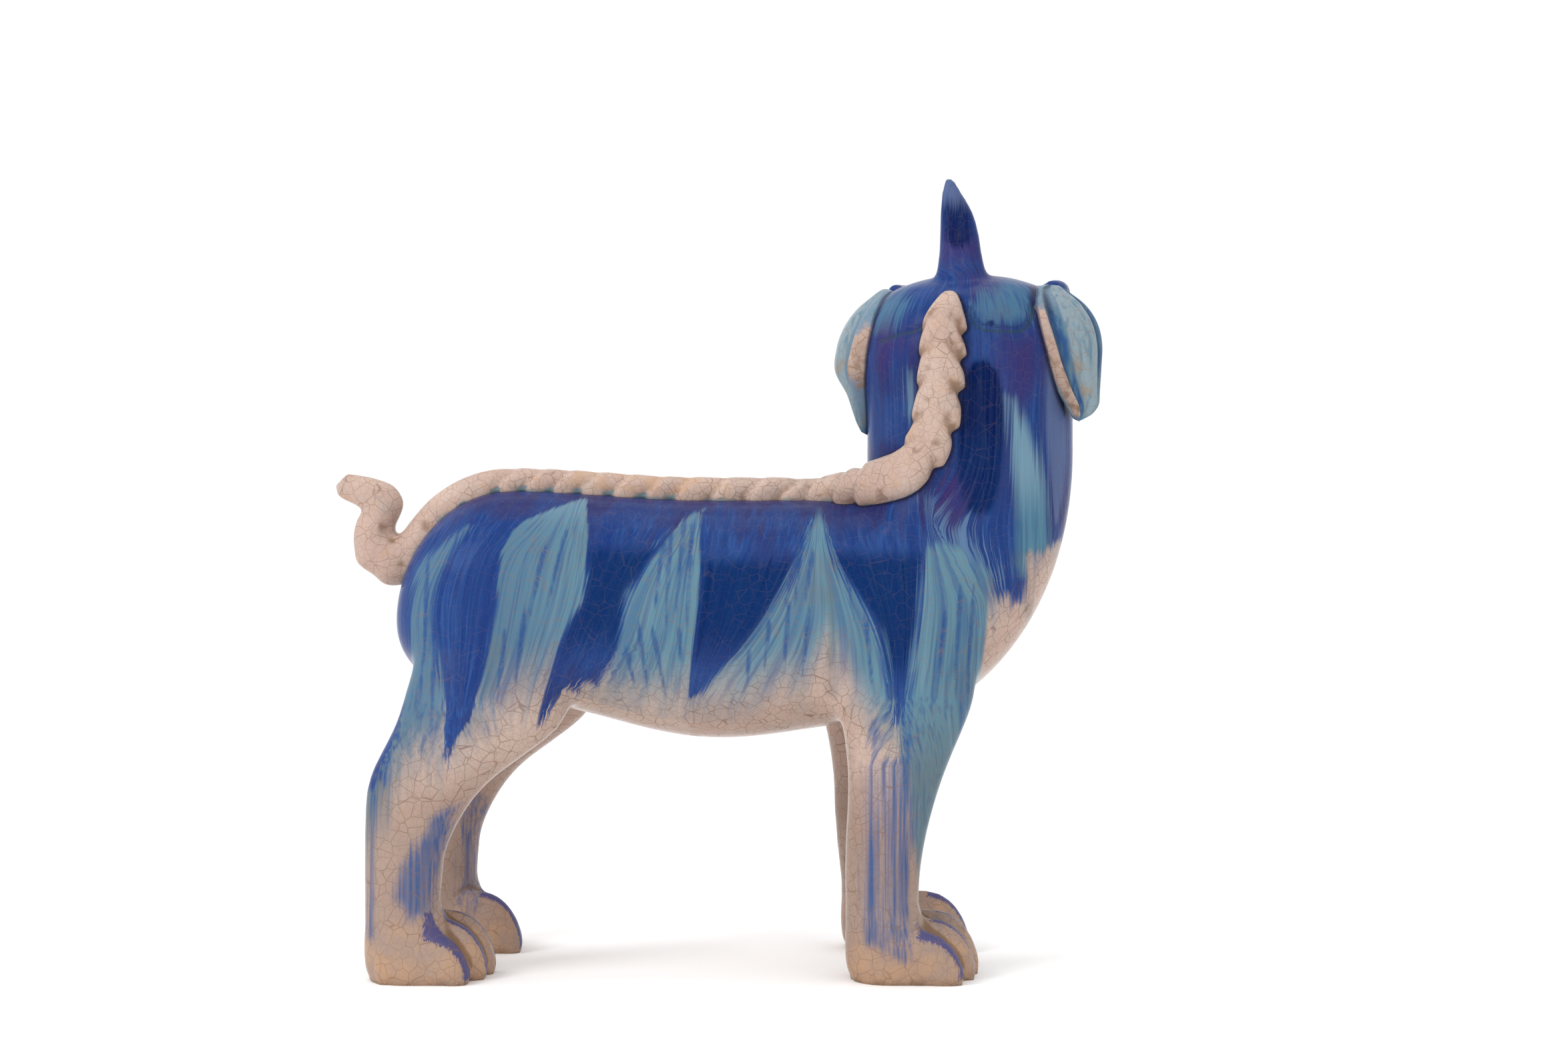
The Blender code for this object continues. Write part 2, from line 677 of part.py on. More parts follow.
TOE_ROWS = (  # distance behind the tip, height share, half width share
    (0.9, 0.34, 0.62),
    (3.2, 0.58, 0.86),
    (7.5, 0.82, 0.98),
    (14.0, 0.97, 1.0),
    (24.0, 1.0, 1.0),
    (34.0, 0.9, 0.9),
)
HEEL_ROWS = (  # height share, further forward, half length, half width, all beyond the shank's
    (1.0, 0.0, 0.0, 0.0),
    (0.8, 1.2, 1.0, 1.2),
    (0.5, 3.8, 4.0, 3.0),
    (0.22, 5.2, 5.0, 4.2),
    (0.07, 5.2, 3.8, 3.4),
    (-0.06, 5.0, 1.6, 1.6),
)


def toe_mesh(name, heel_x, side_y, length, sideways, turn):
    """One arched toe, from inside the paw out to its tip, with a foot that reaches below the floor."""
    loops = []
    for behind, height, width in TOE_ROWS:
        top = TOE_HEIGHT * height
        half_width = TOE_HALF_WIDTH * width
        points = []
        for i in range(12):
            t = 2 * math.pi * i / 12
            up = math.sin(t)
            power = 2.0 if up > 0 else 5.0
            half_height = (top + 1.5) / 2
            points.append(
                Vector(
                    (
                        length - behind,
                        half_width * rounded(math.cos(t), power),
                        top - half_height + half_height * rounded(up, power),
                    )
                )
            )
        loops.append(points)
    tip = Vector((length, 0, TOE_HEIGHT * 0.16))
    spin = math.radians(turn)
    placed_loops = [[toe_place(p, heel_x, side_y, sideways, spin) for p in points] for points in loops]
    return loft(name, placed_loops, toe_place(tip, heel_x, side_y, sideways, spin), "flat")


def toe_place(point, heel_x, side_y, sideways, spin):
    """Splays a toe about the heel and shifts it to its place across the paw."""
    x = point.x * math.cos(spin) - point.y * math.sin(spin)
    y = point.x * math.sin(spin) + point.y * math.cos(spin)
    return Vector((heel_x + x, side_y + sideways + y, point.z))


def paw(name, leg_rows, shank_x, side, paw_length, material, figure, floor_tool):
    """Heel and instep below the leg's joint, with three toes joined on and a flat sole."""
    _, ahead, half_length, inwards, half_width = leg_rows[0]
    side_y = side * (LEG_SPREAD / 2 - inwards)
    top = ANKLE_Z - LUTE / 2
    loops = []
    for height, forward, longer, wider in through(HEEL_ROWS, 9):
        centre = Vector((shank_x + ahead + forward, side_y, top * height))
        loops.append(
            loop(centre, Vector((half_length + longer, 0, 0)), Vector((0, half_width + wider, 0)), 16, 2.2)
        )
    made = piece(name, loft(name, loops), material, figure)
    heel_x = shank_x + ahead - half_length
    for i in range(TOE_COUNT):
        outward = i - (TOE_COUNT - 1) / 2
        length = paw_length - OUTER_TOE_SHORTER * max(outward, 0.0) - 1.0 * max(-outward, 0.0)
        toe = toe_mesh(
            f"{name}_toe_{i}", heel_x, side_y, length, side * outward * TOE_PITCH * 0.75, side * outward * TOE_SPLAY
        )
        combine(made, "UNION", cutter(f"{name}_toe_tool_{i}", toe, figure))
    combine(made, "DIFFERENCE", floor_tool)
    return made


# Spine ridge and tail


def skin_tree(*objects):
    """A search tree over the outer forms, in millimetres in the figure's frame."""
    points, faces = [], []
    for made in objects:
        world = made.matrix_world
        start = len(points)
        points += [world @ vert.co / MM for vert in made.data.vertices]
        faces += [[start + i for i in face.vertices] for face in made.data.polygons]
    return BVHTree.FromPolygons(points, faces)


SPINE_SWING = (  # height above the neck joint, share of the head's turn
    (-21.0, 0.52),
    (-16.0, 0.74),
    (-8.5, 0.86),
    (-2.0, 0.91),
    (11.5, 0.96),
    (24.0, 0.98),
    (36.0, 0.99),
    (45.0, 1.0),
    (51.0, 1.0),
)


BACK_PINCHES = (-85.6, -75.4, -65.0, -54.1, -42.2, -29.5, -18.6, -4.7, 9.3, 22.2, 34.6, 46.6, 53.5)  # their x
NAPE_PINCHES = (-13.0, -2.2, 11.5, 23.0, 32.5)  # their height above the neck joint


def spine_guide():
    """Points near the ridge's route: up the rump, along the back, round the withers and up the nape."""
    start_turn = math.degrees(math.acos((HIP_X - SPINE_START_X) / (HIP_X - RUMP_X)))
    guide = [rump_section(turn)[0] for turn in np.linspace(start_turn, 90, 6)]
    guide += [barrel_section(share)[0] for share in np.linspace(0.12, 0.94, 8)]
    for height, share in SPINE_SWING:
        turn = math.radians(HEAD_TURN * share)
        reach = NECK_X - WITHERS_X if height < 40 else (NECK_X - WITHERS_X) * 0.75
        guide.append(
            Vector((NECK_X - reach * math.cos(turn), -reach * math.sin(turn), NECK_JOINT_Z + height))
        )
    return guide


def pinch_share(mark, pinches):
    """How far a section is pinched in, from 0 to 1: sharply just behind each lobe, slowly before the next."""
    beyond = min([mark - pinch for pinch in pinches if pinch <= mark], default=99.0)
    short = min([pinch - mark for pinch in pinches if pinch > mark], default=99.0)
    return max(math.exp(-((beyond / PINCH_STEEP) ** 2)), math.exp(-short / PINCH_FALL))


def coil_frame(dense, travelled, mark):
    """Place on the skin, direction across the coil and direction out of the skin at a distance along it."""
    row = [float(np.interp(mark, travelled, dense[:, k])) for k in range(6)]
    ahead, behind = (Vector([np.interp(mark + step, travelled, dense[:, k]) for k in range(3)]) for step in (1, -1))
    along = ahead - behind
    across = along.cross(Vector(row[3:])).normalized()
    return Vector(row[:3]), across, across.cross(along).normalized()


def spine_mesh(tree, sides=12):
    """A coil that lies on the skin, pinched between finger and thumb along both flanks.

    Each section leans towards the head on its way to the top, as the pinches do.
    """
    seated = []
    for point in spine_guide():
        place, normal, _, _ = tree.find_nearest(point)
        seated.append((*place, *normal))
    dense = np.array(through(seated, 400))
    steps = np.linalg.norm(np.diff(dense[:, :3], axis=0), axis=1)
    travelled = np.concatenate([[0.0], np.cumsum(steps)])
    length = travelled[-1]
    on_back = dense[:, 2] < SADDLE_Z + WITHERS_FILLET
    on_nape = dense[:, 0] > WITHERS_X
    withers = travelled[on_nape][0]
    pinches = [float(np.interp(x, dense[on_back, 0], travelled[on_back])) for x in BACK_PINCHES]
    pinches += [float(np.interp(NECK_JOINT_Z + z, dense[on_nape, 2], travelled[on_nape])) for z in NAPE_PINCHES]
    marks = list(np.arange(0, pinches[0] - SPINE_STEP, SPINE_STEP))
    for pinch in pinches:
        marks += [pinch - PINCH_FALL, pinch, pinch + PINCH_STEEP, pinch + 2.2 * PINCH_STEEP]
    marks += list(np.arange(marks[-1] + 3, length, 3))
    loops = []
    for mark in marks:
        left = (length - mark) / SPINE_TIP
        taper = math.sqrt(1 - (1 - min(left + 0.12, 1.0)) ** 2)
        depth = blend(BACK_PINCH, NAPE_PINCH, ease((mark - withers) / 30)) * pinch_share(mark, pinches)
        slant = PINCH_SLANT * min(1.0, mark / 20, (length - mark) / 20)
        points = []
        for k in range(sides):
            turn = 2 * math.pi * k / sides
            side, up = math.cos(turn), math.sin(turn)
            centre, across, out = coil_frame(dense, travelled, mark + slant * max(up, 0.0) ** 1.5)
            size = taper * (1 - depth * (0.15 + 0.85 * abs(side) ** 1.5))
            points.append(centre + across * SPINE_HALF_WIDTH * size * side + out * SPINE_HALF_HEIGHT * size * up)
        loops.append(points)
    return loft("spine_ridge", loops)


TAIL_ROWS = (  # upper outline x and z, lower outline x and z, half width, from the root's place on the rump
    (10.0, 12.0, 10.0, -7.0, 9.5),
    (1.5, 10.5, -3.0, -8.5, 9.0),
    (-0.2, 11.5, -9.0, -4.5, 8.6),
    (-1.2, 12.5, -14.9, -0.1, 8.2),
    (-1.0, 13.8, -16.4, 5.6, 7.9),
    (-0.2, 15.3, -16.6, 11.2, 7.7),
    (1.6, 18.1, -15.5, 16.1, 7.6),
    (2.7, 22.0, -13.9, 19.2, 7.6),
    (1.6, 25.8, -13.7, 20.7, 7.5),
    (-1.7, 29.9, -14.8, 21.7, 7.1),
    (-7.3, 32.2, -17.3, 23.1, 6.4),
    (-12.7, 33.5, -20.4, 24.5, 5.6),
    (-19.1, 34.4, -22.7, 26.1, 4.3),
)


def tail_mesh():
    """A fat coil that climbs from the rump and folds over to the rear, lofted between its two outlines."""
    loops = []
    for upper_x, upper_z, lower_x, lower_z, half_width in TAIL_ROWS:
        upper = Vector((RUMP_X + upper_x, 0, TAIL_ROOT_Z + upper_z))
        lower = Vector((RUMP_X + lower_x, 0, TAIL_ROOT_Z + lower_z))
        loops.append(loop((upper + lower) / 2, (upper - lower) / 2, Vector((0, half_width, 0)), 14))
    return loft("tail", loops, "flat", Vector((RUMP_X - 23.7, 0, TAIL_ROOT_Z + 29.9)))


def stand_on_origin(figure, pieces):
    """Puts the middle of the whole figure's footprint at the origin."""
    bpy.context.view_layer.update()
    points = np.array([made.matrix_world @ vert.co for made in pieces for vert in made.data.vertices])
    middle = (points.min(axis=0) + points.max(axis=0)) / 2
    figure.location = Vector((-middle[0], -middle[1], 0))


def main():
    for old in list(bpy.data.objects):
        bpy.data.objects.remove(old)
    glazes = {
        "blue": glaze("cobalt glaze", GLAZE_BLUE),
        "teal": glaze("turquoise glaze", GLAZE_TEAL),
        "cream": glaze("cream crackle glaze", GLAZE_CREAM, 0.28),
        "white": glaze("tooth glaze", GLAZE_WHITE),
        "dark": glaze("eye glaze", GLAZE_DARK, 0.1),
        "red": glaze("tongue glaze", GLAZE_RED),
    }
    figure = empty("figure")
    shells = trunk_shells(figure, glazes["blue"])
    trunk_tool = cutter("trunk_tool", trunk_mesh("trunk_form", NECK_JOINT_Z, "flat"), figure, LUTE)
    floor = box("floor_form", Vector((-400, -400, -60)), Vector((400, 400, 0)))
    floor_tool = cutter("floor_tool", floor, figure)

    head_tool = head_pieces(figure, trunk_tool, glazes)

    hind_x = HIP_X - HIND_LEG_BACK
    fore_x = NECK_X - FORE_LEG_BACK
    for name, rows, shank_x, side in (
        ("right_hind", HIND_LEG_ROWS, hind_x, -1),
        ("left_hind", HIND_LEG_ROWS, hind_x + FAR_HIND_STEP, 1),
        ("right_fore", FORE_LEG_ROWS, fore_x, -1),
        ("left_fore", FORE_LEG_ROWS, fore_x, 1),
    ):
        leg(f"{name}_leg", rows, shank_x, side, glazes["cream"], figure, trunk_tool, shells)
        paw_length = PAW_LENGTH + (FORE_PAW_LONGER if rows is FORE_LEG_ROWS else 0.0)
        paw(f"{name}_paw", rows, shank_x, side, paw_length, glazes["cream"], figure, floor_tool)

    tail = piece("tail", tail_mesh(), glazes["cream"], figure)
    combine(tail, "DIFFERENCE", trunk_tool)
    tail_tool = cutter("tail_tool", tail.data, figure, LUTE)

    bpy.context.view_layer.update()
    spine = piece("spine_ridge", spine_mesh(skin_tree(trunk_tool, head_tool)), glazes["cream"], figure)
    combine(spine, "DIFFERENCE", trunk_tool, head_tool, tail_tool)
    horn = bpy.data.objects["horn"]
    combine(spine, "DIFFERENCE", cutter("horn_tool", horn.data, horn.parent, LUTE))

    stand_on_origin(figure, [made for made in bpy.data.objects if made.type == "MESH" and not made.hide_render])


main()
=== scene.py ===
import math

import bpy
import numpy as np
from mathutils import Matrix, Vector
from mathutils.bvhtree import BVHTree
from mathutils.kdtree import KDTree


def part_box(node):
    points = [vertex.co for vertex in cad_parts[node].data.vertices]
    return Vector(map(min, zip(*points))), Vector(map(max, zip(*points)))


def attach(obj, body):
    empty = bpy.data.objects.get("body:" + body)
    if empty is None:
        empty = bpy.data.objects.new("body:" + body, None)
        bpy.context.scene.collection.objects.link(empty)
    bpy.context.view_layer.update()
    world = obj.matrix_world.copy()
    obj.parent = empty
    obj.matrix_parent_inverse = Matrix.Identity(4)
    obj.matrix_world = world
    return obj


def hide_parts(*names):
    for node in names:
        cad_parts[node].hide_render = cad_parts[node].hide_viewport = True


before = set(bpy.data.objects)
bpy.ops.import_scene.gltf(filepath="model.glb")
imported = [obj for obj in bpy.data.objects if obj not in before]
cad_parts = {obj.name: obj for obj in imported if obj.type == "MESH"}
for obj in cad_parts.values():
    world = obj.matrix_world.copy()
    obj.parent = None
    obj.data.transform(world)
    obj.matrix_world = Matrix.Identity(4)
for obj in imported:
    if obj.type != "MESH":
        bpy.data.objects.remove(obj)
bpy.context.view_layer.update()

# Trunk and neck. Two half shells of clay, pressed in a mould and luted along the spine and belly. The seam is
# wiped flush, so the fired figure shows one smooth barrel that turns up into the neck.

RUMP_X = -124.0
HIP_X = -80.0
BELLY_X = 0.0
BRISKET_X = 60.0
WITHERS_X = 56.5
CHEST_X = 135.0
NECK_X = (WITHERS_X + CHEST_X) / 2
RUMP_Z = 128.0
HIP_Z = 181.0
SADDLE_Z = 177.5
GROIN_Z = 100.0
BELLY_Z = 86.0
BRISKET_Z = 92.0
NECK_BASE_Z = 195.0
NECK_JOINT_Z = 205.0
WITHERS_FILLET = 10.0
HIP_HALF_WIDTH = 41.0
TRUNK_HALF_WIDTH = 44.5
NECK_HALF_WIDTH = 38.5
NECK_INTO_HEAD = 6.0
TRUNK_POWER = 2.25  # how square the sections are: 2 is an ellipse
TRUNK_SIDES = 72
HALF_SEAM = 0.00015  # half the gap between the two shells, in metres

# The mould's middle plane and the rump's rearmost point, as the two shells give them, in metres.
shell_low, shell_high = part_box("right_shell")
FIGURE_PLACE = np.array([shell_low[0] - RUMP_X / 1000, shell_high[1] + HALF_SEAM, 0.0])


def blend(low, high, share):
    return low + (high - low) * share


def ease(share):
    return 0.5 - 0.5 * math.cos(math.pi * min(max(share, 0.0), 1.0))


def through(rows, count):
    """A Catmull-Rom curve through rows of numbers, as `count` evenly spaced rows."""
    rows = np.array(rows, float)
    padded = np.vstack([2 * rows[0] - rows[1], rows, 2 * rows[-1] - rows[-2]])
    places = np.linspace(0, len(rows) - 1, count)
    first = np.minimum(places.astype(int), len(rows) - 2)
    u = (places - first)[:, None]
    a, b, c, d = (padded[first + k] for k in range(4))
    return 0.5 * (2 * b + (c - a) * u + (2 * a - 5 * b + 4 * c - d) * u**2 + (3 * b - a - 3 * c + d) * u**3)


def rounded(values, power):
    return np.sign(values) * np.abs(values) ** (2 / power)


def ring(centre, half_a, half_b, sides, power=2.0):
    """Points round a superellipse with the half axes `half_a` and `half_b`."""
    turns = np.linspace(0, 2 * math.pi, sides, endpoint=False)[:, None]
    return np.array(centre) + rounded(np.cos(turns), power) * half_a + rounded(np.sin(turns), power) * half_b


def lofted(rings, start=None, end=None):
    """Points and faces of a closed skin over rings of points, with each end drawn in to a point."""
    rings = np.array(rings)
    count, sides = rings.shape[:2]
    start = rings[0].mean(axis=0) if start is None else np.array(start)
    end = rings[-1].mean(axis=0) if end is None else np.array(end)
    points = np.vstack([rings.reshape(-1, 3), start, end])
    faces = []
    for i in range(count - 1):
        for j in range(sides):
            k = (j + 1) % sides
            faces.append((i * sides + j, i * sides + k, (i + 1) * sides + k, (i + 1) * sides + j))
    for j in range(sides):
        k = (j + 1) % sides
        faces.append((len(points) - 2, k, j))
        faces.append((len(points) - 1, (count - 1) * sides + j, (count - 1) * sides + k))
    return points, faces


def trunk_sections():
    """Back point, belly point and half width of each section, from the rump's pole to the neck's top."""
    found = []
    for turn in np.radians(np.linspace(6, 90, 22)):
        x = HIP_X - (HIP_X - RUMP_X) * math.cos(turn)
        back = (x, 0, RUMP_Z + (HIP_Z - RUMP_Z) * math.sin(turn))
        under = (x, 0, RUMP_Z - (RUMP_Z - GROIN_Z) * math.sin(turn))
        found.append((back, under, HIP_HALF_WIDTH * math.sin(turn) ** 0.85))
    for share in np.linspace(0, 1, 36)[1:]:
        back_x = blend(HIP_X, WITHERS_X - WITHERS_FILLET, share)
        under_x = blend(HIP_X, BRISKET_X, share)
        if under_x < BELLY_X:
            under_z = blend(GROIN_Z, BELLY_Z, ease((under_x - HIP_X) / (BELLY_X - HIP_X)))
        else:
            under_z = blend(BELLY_Z, BRISKET_Z, ease((under_x - BELLY_X) / (BRISKET_X - BELLY_X)))
        back_z = blend(HIP_Z, SADDLE_Z, ease(share / 0.6))
        half_width = blend(HIP_HALF_WIDTH, TRUNK_HALF_WIDTH, ease(share / 0.7))
        found.append(((back_x, 0, back_z), (under_x, 0, under_z), half_width))
    for share in np.linspace(0, 1, 36)[1:]:
        sin, cos = math.sin(math.pi / 2 * share), math.cos(math.pi / 2 * share)
        back = (WITHERS_X - WITHERS_FILLET * (1 - sin), 0, SADDLE_Z + WITHERS_FILLET * (1 - cos))
        front = (blend(BRISKET_X, CHEST_X, sin), 0, blend(NECK_BASE_Z, BRISKET_Z, cos))
        found.append((back, front, blend(TRUNK_HALF_WIDTH, NECK_HALF_WIDTH, ease(share))))
    neck_top = NECK_JOINT_Z + NECK_INTO_HEAD
    for share in (0.3, 0.6, 1.0):
        back = (WITHERS_X, 0, blend(SADDLE_Z + WITHERS_FILLET, neck_top, share))
        found.append((back, (CHEST_X, 0, blend(NECK_BASE_Z, neck_top, share)), NECK_HALF_WIDTH))
    return found


trunk_rings = []
for back, under, half_width in trunk_sections():
    middle, half_depth = (np.array(back) + under) / 2, (np.array(back) - under) / 2
    trunk_rings.append(ring(middle, half_depth, (0, half_width, 0), TRUNK_SIDES, TRUNK_POWER))
clay_forms = [lofted(trunk_rings, (RUMP_X, 0, RUMP_Z))]


# Head. A hollow pressed cap of the same clay, luted on the neck and turned to look over the left shoulder.
# Its sections are given in the head's own frame, which looks along X from the middle of the neck's joint.

HEAD_TURN = math.radians(73.0)
CROWN_HEIGHT = 58.3
HEAD_ROWS = (  # height above the joint, reach to the nape, reach to the face, half width
    (-6.0, 38.6, 38.6, 38.5),
    (7.0, 39.3, 41.0, 39.0),
    (19.0, 40.0, 44.0, 40.5),
    (31.0, 39.5, 45.0, 41.0),
    (43.0, 36.0, 42.0, 38.5),
    (51.5, 28.5, 33.0, 31.0),
    (56.5, 16.0, 19.0, 18.5),
    (58.0, 7.0, 8.0, 8.0),
)


def level_ring(centre, half_length, half_width, sides, power=2.0):
    return ring(centre, (half_length, 0, 0), (0, half_width, 0), sides, power)


def turned(points):
    """From the head's own frame to the figure's."""
    points = np.array(points, float)
    cos, sin = math.cos(HEAD_TURN), math.sin(HEAD_TURN)
    x, y, z = points[..., 0], points[..., 1], points[..., 2]
    return np.stack([NECK_X + x * cos - y * sin, x * sin + y * cos, z + NECK_JOINT_Z], axis=-1)


def in_head(points):
    """The way back from the figure's frame to the head's own."""
    cos, sin = math.cos(HEAD_TURN), math.sin(HEAD_TURN)
    x, y = points[:, 0] - NECK_X, points[:, 1]
    return np.stack([x * cos + y * sin, y * cos - x * sin, points[:, 2] - NECK_JOINT_Z], axis=1)


def head_form(form):
    points, faces = form
    return turned(points), faces


head_rings = []
for height, nape, face, half_width in through(HEAD_ROWS, 50):
    centre = ((face - nape) / 2, 0, height)
    head_rings.append(level_ring(centre, (face + nape) / 2, half_width, TRUNK_SIDES, TRUNK_POWER))
clay_forms.append(head_form(lofted(head_rings, None, (0, 0, CROWN_HEIGHT))))


# Horn. A solid cone of clay, rolled by hand and bent a little at the tip. It stands on the crown at the end
# of the spine ridge, and its foot flares where it is luted on.

HORN_POINT = (-15.3, 4.5, 95.0)
HORN_ROWS = (  # height, middle x, middle y, half length, half width
    (46.0, -14.0, 0.0, 15.5, 15.5),
    (53.0, -14.0, 0.0, 11.0, 11.0),
    (57.0, -14.0, 0.0, 9.6, 9.8),
    (64.0, -14.0, 0.3, 8.3, 8.3),
    (73.0, -14.0, 0.8, 7.4, 7.4),
    (81.0, -14.2, 1.8, 6.2, 6.2),
    (89.0, -14.8, 3.6, 3.6, 3.6),
    (93.5, -15.3, 4.5, 1.8, 2.0),
)
horn_rings = [
    level_ring((x, y, height), half_length, half_width, 40)
    for height, x, y, half_length, half_width in through(HORN_ROWS, 44)
]
clay_forms.append(head_form(lofted(horn_rings, None, HORN_POINT)))


# Face. Muzzle, nose, jaw, brows and beard are sprigs of clay, pressed on the head and smoothed in with slip.
# The brows are coils, whose outer ends stand up behind the ears.

MUZZLE_ROWS = (  # x, top, bottom, half width
    (28.0, 34.0, 8.0, 21.0),
    (34.0, 34.5, 7.0, 23.0),
    (46.0, 35.0, 6.0, 25.5),
    (55.0, 33.0, 6.0, 23.5),
    (61.0, 29.5, 7.5, 19.0),
    (64.0, 26.0, 9.5, 13.0),
)
JAW_ROWS = (
    (26.0, -5.5, -16.0, 17.0),
    (32.0, -5.5, -17.0, 18.0),
    (44.0, -5.0, -18.5, 20.0),
    (52.0, -4.0, -16.5, 17.5),
    (57.0, -4.5, -13.5, 12.5),
)
NOSE_ROWS = (  # x, height, half height, half width
    (46.0, 33.0, 3.5, 6.0),
    (50.0, 34.0, 4.5, 7.0),
    (56.0, 34.5, 6.5, 10.5),
    (62.0, 33.0, 7.0, 13.0),
    (67.5, 31.0, 5.5, 10.5),
)
NOSE_TIP = (70.5, 0, 30.5)
BROW_ROWS = (  # x, y, height, radius
    (44.5, 5.0, 40.0, 3.2),
    (43.0, 13.0, 47.0, 4.6),
    (37.0, 23.0, 50.5, 5.0),
    (25.0, 29.5, 52.5, 4.8),
    (13.0, 31.5, 53.0, 4.4),
    (5.0, 30.5, 53.0, 3.4),
)
BEARD_ROWS = (  # height, middle x, half length, half width
    (-8.0, 46.0, 7.5, 9.0),
    (-12.0, 47.0, 7.5, 10.0),
    (-19.0, 47.5, 7.5, 9.5),
    (-26.0, 49.0, 6.0, 7.0),
    (-32.0, 51.0, 3.4, 3.8),
)
BEARD_TIP = (52.5, 0, -35.0)


def unit(vectors):
    return np.array(vectors) / np.linalg.norm(vectors, axis=-1, keepdims=True)


def upright_ring(centre, half_height, half_width, sides, power=2.0):
    return ring(centre, (0, 0, half_height), (0, half_width, 0), sides, power)


def snout(rows, power):
    """A blunt form through rows of (x, top, bottom, half width), with a slightly domed end."""
    rings = [
        upright_ring((x, 0, (top + bottom) / 2), (top - bottom) / 2, half_width, 40, power)
        for x, top, bottom, half_width in through(rows, 24)
    ]
    x, top, bottom, half_width = rows[-1]
    return lofted(rings, None, (x + half_width * 0.18, 0, (top + bottom) / 2))


def coil(rows, count, sides, side):
    """A round coil through rows of (x, y, z, radius)."""
    rows = through(rows, count)
    centres = rows[:, :3]
    along = unit(np.gradient(centres, axis=0))
    rings = []
    for centre, heading, radius in zip(centres, along, rows[:, 3]):
        up = unit(np.cross(heading, side))
        rings.append(ring(centre, up * radius, np.cross(heading, up) * radius, sides))
    start = centres[0] - along[0] * rows[0, 3] * 0.5
    return lofted(rings, start, centres[-1] + along[-1] * rows[-1, 3] * 0.5)


clay_forms.append(head_form(snout(MUZZLE_ROWS, 2.5)))
clay_forms.append(head_form(snout(JAW_ROWS, 2.4)))
nose_rings = [
    upright_ring((x, 0, height), half_height, half_width, 36, 2.3)
    for x, height, half_height, half_width in through(NOSE_ROWS, 20)
]
clay_forms.append(head_form(lofted(nose_rings, None, NOSE_TIP)))
for side in (-1, 1):
    brow = [(x, y * side, height, radius) for x, y, height, radius in BROW_ROWS]
    clay_forms.append(head_form(coil(brow, 30, 20, (0, 0, 1))))
beard_rings = [
    level_ring((x, 0, height), half_length, half_width, 32)
    for height, x, half_length, half_width in through(BEARD_ROWS, 20)
]
clay_forms.append(head_form(lofted(beard_rings, None, BEARD_TIP)))


# Legs. Four hollow pressed legs, luted under the shells and smoothed in until no joint shows. Each is a
# column with a full thigh or shoulder that dies away into the trunk.

LEG_SPREAD = 70.0
HIND_LEG_BACK = 36.5
FORE_LEG_BACK = 35.0
FAR_HIND_STEP = 5.0
FAR_FORE_LEAN = 0.1
FORE_PAW_LONGER = 3.0
ANKLE_Z = 27.0
HIND_LEG_ROWS = (  # height, middle ahead of the shank, half length, shift inwards, half width
    (20.0, 0.0, 14.0, 0.0, 13.0),
    (27.0, 0.0, 14.0, 0.0, 13.0),
    (37.0, 0.2, 14.3, 0.0, 13.2),
    (48.0, 1.0, 15.2, 0.0, 13.6),
    (62.0, 4.5, 19.0, 0.5, 14.6),
    (73.0, 9.5, 23.4, 1.0, 15.8),
    (83.0, 18.5, 28.0, 2.0, 17.0),
    (95.0, 28.5, 32.0, 4.0, 18.0),
    (109.0, 30.0, 30.0, 8.0, 17.5),
    (124.0, 28.0, 23.0, 12.5, 14.5),
    (136.0, 26.0, 12.0, 16.0, 9.0),
)
FORE_LEG_ROWS = (
    (20.0, 0.0, 13.5, 0.0, 12.8),
    (27.0, 0.0, 13.5, 0.0, 12.8),
    (40.0, 0.3, 14.0, 0.0, 13.0),
    (54.0, 1.6, 15.4, 0.0, 13.6),
    (68.0, 4.0, 17.2, 0.5, 14.6),
    (80.0, 6.0, 19.6, 1.0, 15.6),
    (92.0, 8.0, 22.9, 2.5, 17.0),
    (102.0, 9.5, 25.5, 4.5, 17.6),
    (114.0, 10.5, 25.5, 8.0, 16.5),
    (128.0, 10.0, 20.0, 12.0, 13.5),
    (138.0, 9.0, 11.0, 15.0, 8.5),
)
hind_x = HIP_X - HIND_LEG_BACK
fore_x = NECK_X - FORE_LEG_BACK
LEGS = (  # profile, shank's place, side, how much longer its paw is, and its lean to the rear
    (HIND_LEG_ROWS, hind_x, -1, 0.0, 0.0),
    (HIND_LEG_ROWS, hind_x + FAR_HIND_STEP, 1, 0.0, 0.0),
    (FORE_LEG_ROWS, fore_x, -1, FORE_PAW_LONGER, 0.0),
    (FORE_LEG_ROWS, fore_x, 1, FORE_PAW_LONGER, FAR_FORE_LEAN),
)
for rows, shank_x, side, _, lean in LEGS:
    leg_rings = []
    for height, ahead, half_length, inwards, half_width in through(rows, 52):
        x = shank_x + ahead - lean * max(height - ANKLE_Z, 0.0)
        y = side * (LEG_SPREAD / 2 - inwards)
        leg_rings.append(level_ring((x, y, height), half_length, half_width, 44, 2.1))
    clay_forms.append(lofted(leg_rings))


# Paws. Each is a pad of clay under the shank, with three arched toes that are parted by tooled furrows. The
# sole is flat and wiped clean of glaze, so that it does not stick to the kiln's shelf.

